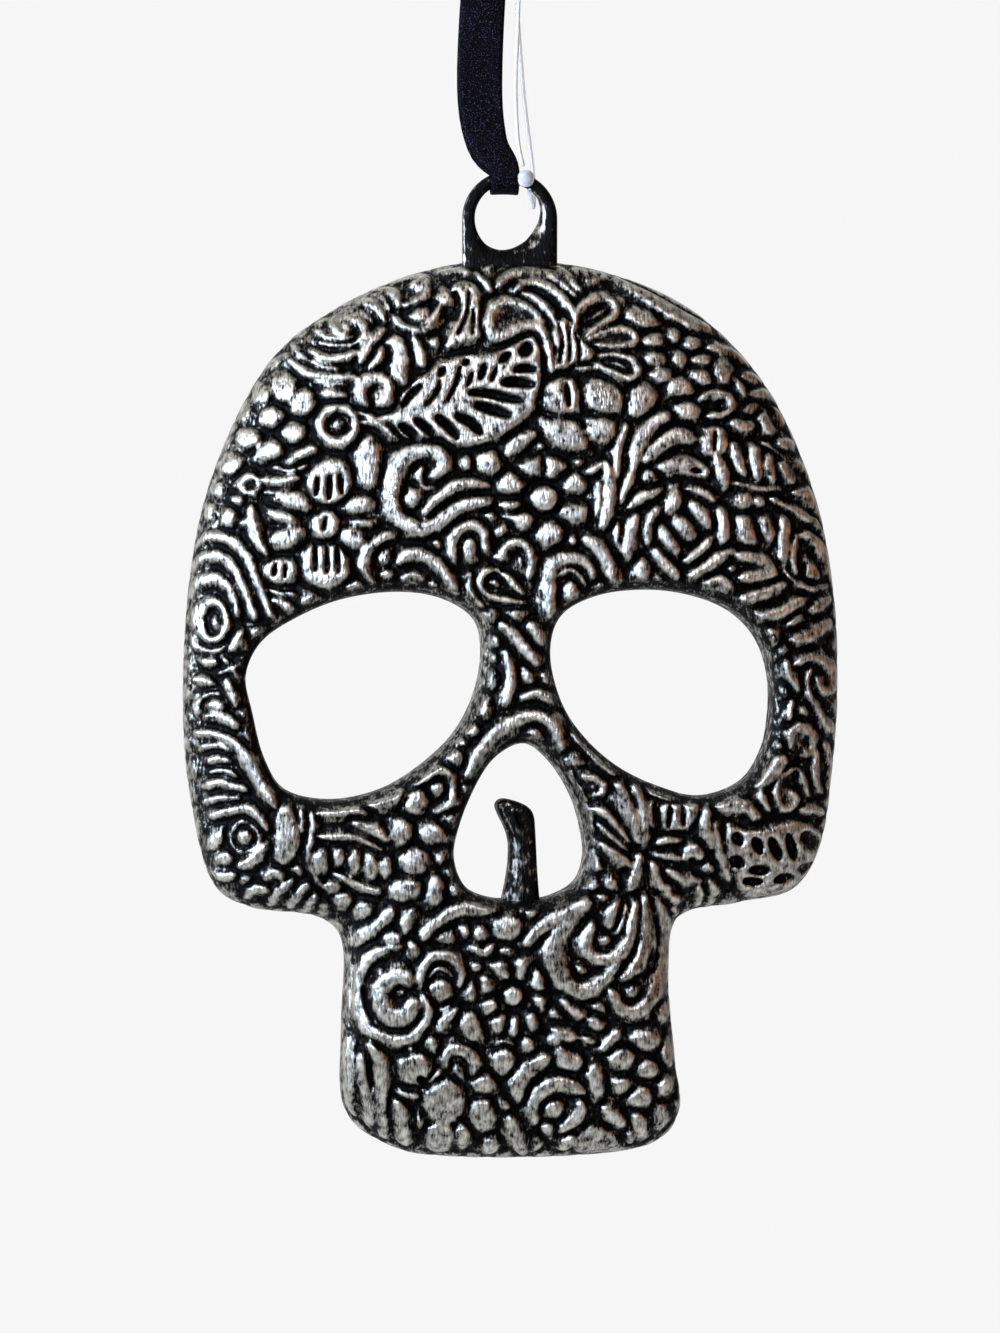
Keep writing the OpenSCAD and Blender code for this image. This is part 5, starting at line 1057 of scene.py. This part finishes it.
for name, points in openings.items():
    edge = evenSteps(smoothLine(place(points), True), 0.3, True)
    away = outwardOf(edge, edge.mean(0))
    right = np.clip(away[:, 0], 0, 1)
    band = lip["band"] + lip["bandRight"] * right ** 1.5 + lip["bandBelow"] * np.clip(-away[:, 1], 0, 1)
    # the wall on each opening's right side faces the lamp at the left and is painted lighter there, by "shine": a
    # painted highlight
    paintedWallLight = lip["shine"][name] * right
    lipRows = []
    for e in lip["out"]:
        p = edge + away * e
        q = np.clip((band - e) / band, 0, 1)
        rolled = frontY + lip["round"] * (1 - np.sqrt(1 - q ** 2))
        y0 = frontAt(p[:, 0], p[:, 1])
        seam = lip["seam"] * np.exp(-((y0 - rolled) / lip["seamWide"]) ** 2)
        y = np.where(q > 0, np.maximum(y0, rolled) + seam, y0)
        keep = smoothStep(*lip["reliefFrom"], e)
        lipRows.append(shell.row(p, y - sample(height, p[:, 0], p[:, 1]) * keep,
                                 sample(burnish, p[:, 0], p[:, 1]) * keep + (lip["dark"] + paintedWallLight) * (1 - keep)))
        if e == lip["out"][0]:
            frontHoles.append((p, lipRows[0]))
    start = np.maximum(y, frontY + lip["round"])
    for share in lip["wall"]:
        lipRows.append(shell.row(edge, start + (collarY - start) * share, lip["dark"] + paintedWallLight * 0.7))
    for e, back in lip["collar"]:
        lipRows.append(shell.row(edge + away * e, collarY + back, 0.14))
    floorLoop = edge + away * 2.1
    floorY = backAt(floorLoop[:, 0], floorLoop[:, 1])
    for share in lip["floor"]:
        lipRows.append(shell.row(edge + away * 1.8, collarY - 0.5 + (floorY - collarY + 0.5) * share, 0.12))
    lipRows.append(shell.row(floorLoop, floorY, 0.13))
    backHoles.append((floorLoop, lipRows[-1]))
    shell.strip(lipRows)
    print(name, len(edge), "columns")


def faceLift(x, z):
    return np.column_stack([x, frontAt(x, z) - sample(height, x, z), z]), sample(burnish, x, z)


def hollowLift(x, z):
    rough = sample(lumps, x, z) * 0.12
    return np.column_stack([x, backAt(x, z) + rough, z]), np.full(len(x), rim["hollowShine"])


facePlan = outline * rim["from"] + upMid
faceStep = 0.26
print("front", fillSheet(shell, (facePlan, rows[0]), frontHoles, faceStep, rim["from"], faceLift))
hollowShare = float(np.min(np.linalg.norm(hollowPlan - upMid, axis=1) / radius))
print("hollow", fillSheet(shell, (hollowPlan, rows[-1]), backHoles, 0.8, hollowShare, hollowLift))

# cast aluminium, blackened all over and then wiped: the high places shine cool and bright, the hollows stay black.
# Where it is wiped less the metal turns dark grey, partly the dirty metal of the wiping and partly painted shade.
# The brush leaves hairlines up and down with a slant; they are drawn 0.3 mm wide, several times too coarse, so that
# they show as a silky streak. Smudges of 1.1 mm break the wiping up, and pits of 0.55 mm are the grain of the mould
castLook = {"hairs": (34, 14, 9), "slant": 0.3, "smudges": 9, "pits": 18, "hairDepth": 0.0003, "pitDepth": 0.0001,
            "patchy": 1.7, "bareFrom": 0.12, "bareTo": 0.42, "greyFrom": 0.3, "brightFrom": 1.15,
            "greyAndPaintedShade": "#2a2826", "silver": "#d6d3c8", "black": "#040404"}
cast, ct = newMaterial("cast aluminium, blackened and wiped bright on the high places")
castCoords = addNode(ct, "ShaderNodeTexCoord")
# the burnish attribute: the wiping, and the painted highlights on the rim, the openings' walls, the ring and the bone
wipedAndPaintedLight = addNode(ct, "ShaderNodeAttribute", attribute_name="burnish")
slanted = addNode(ct, "ShaderNodeMapping", {"Vector": castCoords.outputs["Object"]},
                  in_Rotation=(0.0, castLook["slant"], 0.0), in_Scale=[perMetre(n) for n in castLook["hairs"]])
hairs = addNode(ct, "ShaderNodeTexNoise", {"Vector": slanted.outputs[0]}, in_Scale=1.0, in_Detail=4.0,
                in_Roughness=0.62)
smudges = addNode(ct, "ShaderNodeTexNoise", {"Vector": castCoords.outputs["Object"]},
                  in_Scale=perMetre(castLook["smudges"]), in_Detail=4.0)
streaks = addNode(ct, "ShaderNodeMath", {0: smudges.outputs["Fac"], 1: hairs.outputs["Fac"]}, operation="ADD")
patches = addNode(ct, "ShaderNodeMath", {0: streaks.outputs[0]}, operation="MULTIPLY_ADD",
                  in_1=castLook["patchy"], in_2=-castLook["patchy"])
wiped = addNode(ct, "ShaderNodeMath", {0: wipedAndPaintedLight.outputs["Fac"], 1: patches.outputs[0]}, operation="ADD")
bare = addNode(ct, "ShaderNodeMapRange", {"Value": wiped.outputs[0]}, in_1=castLook["bareFrom"],
               in_2=castLook["bareTo"])
hairBump = addNode(ct, "ShaderNodeBump", {"Height": hairs.outputs["Fac"]}, in_Strength=0.8,
                   in_Distance=castLook["hairDepth"])
pits = addNode(ct, "ShaderNodeTexNoise", {"Vector": castCoords.outputs["Object"]},
               in_Scale=perMetre(castLook["pits"]), in_Detail=3.0)
pitBump = addNode(ct, "ShaderNodeBump", {"Height": pits.outputs["Fac"], "Normal": hairBump.outputs[0]},
                  in_Strength=0.4, in_Distance=castLook["pitDepth"])
# from dark grey to silver by how far it is wiped: partly dirty metal, partly painted shade on the forms' flanks
toneAndPaintedShade = addNode(ct, "ShaderNodeMapRange", {"Value": wiped.outputs[0]}, in_1=castLook["greyFrom"],
               in_2=castLook["brightFrom"])
silver = addNode(ct, "ShaderNodeMix", {"Factor": toneAndPaintedShade.outputs[0]}, data_type="RGBA")
silver.inputs["A"].default_value = linear(castLook["greyAndPaintedShade"])
silver.inputs["B"].default_value = linear(castLook["silver"])
polished = addNode(ct, "ShaderNodeBsdfPrincipled",
                   {"Base Color": silver.outputs["Result"], "Normal": pitBump.outputs[0]},
                   in_Metallic=1.0, in_Roughness=0.28)
patina = addNode(ct, "ShaderNodeBsdfPrincipled", {"Normal": pitBump.outputs[0]},
                 in_Base_Color=linear(castLook["black"]), in_Roughness=0.5, in_IOR=1.45, in_Specular_IOR_Level=0.06)
both = addNode(ct, "ShaderNodeMixShader", {0: bare.outputs[0], 1: patina.outputs[0], 2: polished.outputs[0]})
addNode(ct, "ShaderNodeOutputMaterial", {"Surface": both.outputs[0]})

casting = makeMesh("skullCasting", np.vstack(shell.points), shell.faces, cast)
castMesh = casting.data
turnedOut = bmesh.new()
turnedOut.from_mesh(castMesh)
bmesh.ops.recalc_face_normals(turnedOut, faces=turnedOut.faces)
print("open edges", sum(1 for e in turnedOut.edges if len(e.link_faces) != 2))
turnedOut.to_mesh(castMesh)
turnedOut.free()
setWipedAndPaintedLight(castMesh, np.concatenate(shell.shine))
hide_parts("skull_plate", "forehead_relief", "brow_bridge_relief", "left_cheek_relief",
            "right_cheek_relief", "jaw_relief")
print("casting", len(castMesh.vertices), "points", len(castMesh.polygons), "faces")

# the hanging ring: a round hole, an outer edge that widens to a straight foot; millimetres
ring = {"outer": 6.65, "bar": 1.75, "deep": 2.2, "shift": -0.6, "foot": 8.4, "wall": 2.1, "turns": 120, "sides": 28,
        "square": 0.78}
ringPoints, ringPaintedLight = [], []
for a in np.linspace(0, 2 * math.pi, ring["turns"], endpoint=False):
    c, s = math.cos(a), math.sin(a)
    outer = ring["outer"]
    if s < 0:
        outer = min(outer / max(abs(c), 1e-6), ring["foot"] / max(-s, 1e-6))
    inner = ring["outer"] - ring["bar"]
    mid, half = (outer + inner) / 2, (outer - inner) / 2
    left, right = max(0, -c), max(0, c)
    for b in np.linspace(0, 2 * math.pi, ring["sides"], endpoint=False):
        u, v = math.cos(b), math.sin(b)
        r = mid + half * math.copysign(abs(u) ** ring["square"], u)
        # the hole narrows towards the back on its right side, so its wall shows from the front
        r -= ring["wall"] * max(0, -u) ** 0.5 * (0.5 + 0.5 * v) * max(0, math.cos(a + 0.8)) ** 1.4
        y = ring["deep"] / 2 * math.copysign(abs(v) ** ring["square"], v)
        ringPoints.append((ring["shift"] + r * c, y, ringZ + r * s))
        # painted highlights on its front edges and low on the left, and a painted reflection of the pale backdrop
        # on the hole's right wall
        frontEdgeHighlight = math.exp(-((abs(u) - 0.8) / 0.14) ** 2) * (1 if v < 0 else 0.2)
        wall = max(0, -u) ** 0.5 * (0.55 + 0.45 * v) * right
        paintedRingLight = frontEdgeHighlight * (0.65 * left if u > 0 else 0.75 * right) + 0.85 * wall + 0.35 * left * max(0, -s) * max(0, u)
        ringPaintedLight.append(paintedRingLight - 0.06)
ringPiece = makeMesh("hangingRing", ringPoints, tubeFaces(ring["turns"], ring["sides"], True), cast)
setWipedAndPaintedLight(ringPiece.data, ringPaintedLight)
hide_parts("hanging_ring")

# the bone in the nose: its outline, its narrower front face and the ridge in the middle of that, in shares; depths in
# millimetres
bone = {
    "outer": [(-1.6, 28.2), (-1.1, 30.6), (-0.75, 33), (-0.75, 35.2), (-1.2, 36.8), (-1.9, 38.2), (-2.2, 39.3),
              (-1.5, 39.95), (0, 39.7), (1.3, 39.1), (2, 38.1), (2.2, 36), (2.4, 32), (2.7, 28.2)],
    "face": [(-0.4, 28.2), (-0.1, 30.6), (0, 33), (-0.1, 35.2), (-0.6, 36.8), (-1.2, 38), (-1.45, 38.9), (-1.0, 39.3),
             (0, 39.15), (0.9, 38.7), (1.35, 37.8), (1.4, 36), (1.5, 32), (1.6, 28.2)],
    "ridge": [(0.5, 28.2), (0.6, 30.6), (0.65, 33), (0.55, 35.2), (0.3, 36.8), (-0.1, 37.9), (-0.4, 38.5),
              (-0.4, 38.7), (0, 38.6), (0.3, 38.2), (0.5, 37.4), (0.65, 36), (0.7, 32), (0.6, 28.2)],
    "foot": 12, "back": 0.35, "side": -2.6, "front": -3.95, "chamfer": 0.25, "raised": 0.15,
    "dark": 0.02, "lit": 0.12, "edgeLit": 0.5, "frontLit": 0.2, "backLit": 0.05,
}


def boneLoop(points):
    line = smoothLine(place(points), perPoint=6)
    k = np.linspace(0, 1, bone["foot"] + 2)[1:-1, None]
    return np.vstack([line, line[-1] + (line[0] - line[-1]) * k])


outer, face, ridgeLoop = boneLoop(bone["outer"]), boneLoop(bone["face"]), boneLoop(bone["ridge"])
bonePoints, boneShine = [], []
# the bone's left side, and most of all its rounded front edge on the left, is painted lighter: a painted highlight
paintedLeftLight = np.clip((face[:, 0] - outer[:, 0]) / 0.9, 0, 1)


def boneRow(loop, y, shine):
    bonePoints.extend((x, y, z) for x, z in loop)
    boneShine.extend(np.broadcast_to(shine, len(loop)))


for k in (0.9, 0.2):
    boneRow(outer + (ridgeLoop - outer) * k, bone["back"], bone["backLit"])
for k in np.linspace(0, 1, 5):
    y = bone["back"] - bone["chamfer"] + (bone["side"] - bone["back"] + bone["chamfer"]) * k
    boneRow(outer, y, bone["dark"] + bone["lit"] * paintedLeftLight)
for k in np.linspace(0, 1, 7)[1:]:
    a = k * math.pi / 2
    y = bone["side"] + (bone["front"] + bone["raised"] - bone["side"]) * math.sin(a)
    boneRow(outer + (face - outer) * (1 - math.cos(a)), y,
            bone["dark"] + (bone["lit"] + bone["edgeLit"] * k ** 4) * paintedLeftLight)
for k in (0.2, 0.45, 0.7, 0.92):
    boneRow(face + (ridgeLoop - face) * k, bone["front"] + bone["raised"] * (1 - k) ** 2, bone["frontLit"])
bonePiece = makeMesh("noseBone", bonePoints, tubeFaces(len(bonePoints) // len(outer), len(outer)), cast)
setWipedAndPaintedLight(bonePiece.data, boneShine)
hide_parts("nose_bone")
print("ring and bone")

# what each piece moves with
ribbonPieces = [ribbonPiece, knotPiece] + tailPieces
for body, pieces in (("skull", [casting, ringPiece, bonePiece]), ("hanger", ribbonPieces + [filament, lock])):
    for piece in pieces:
        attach(piece, body)
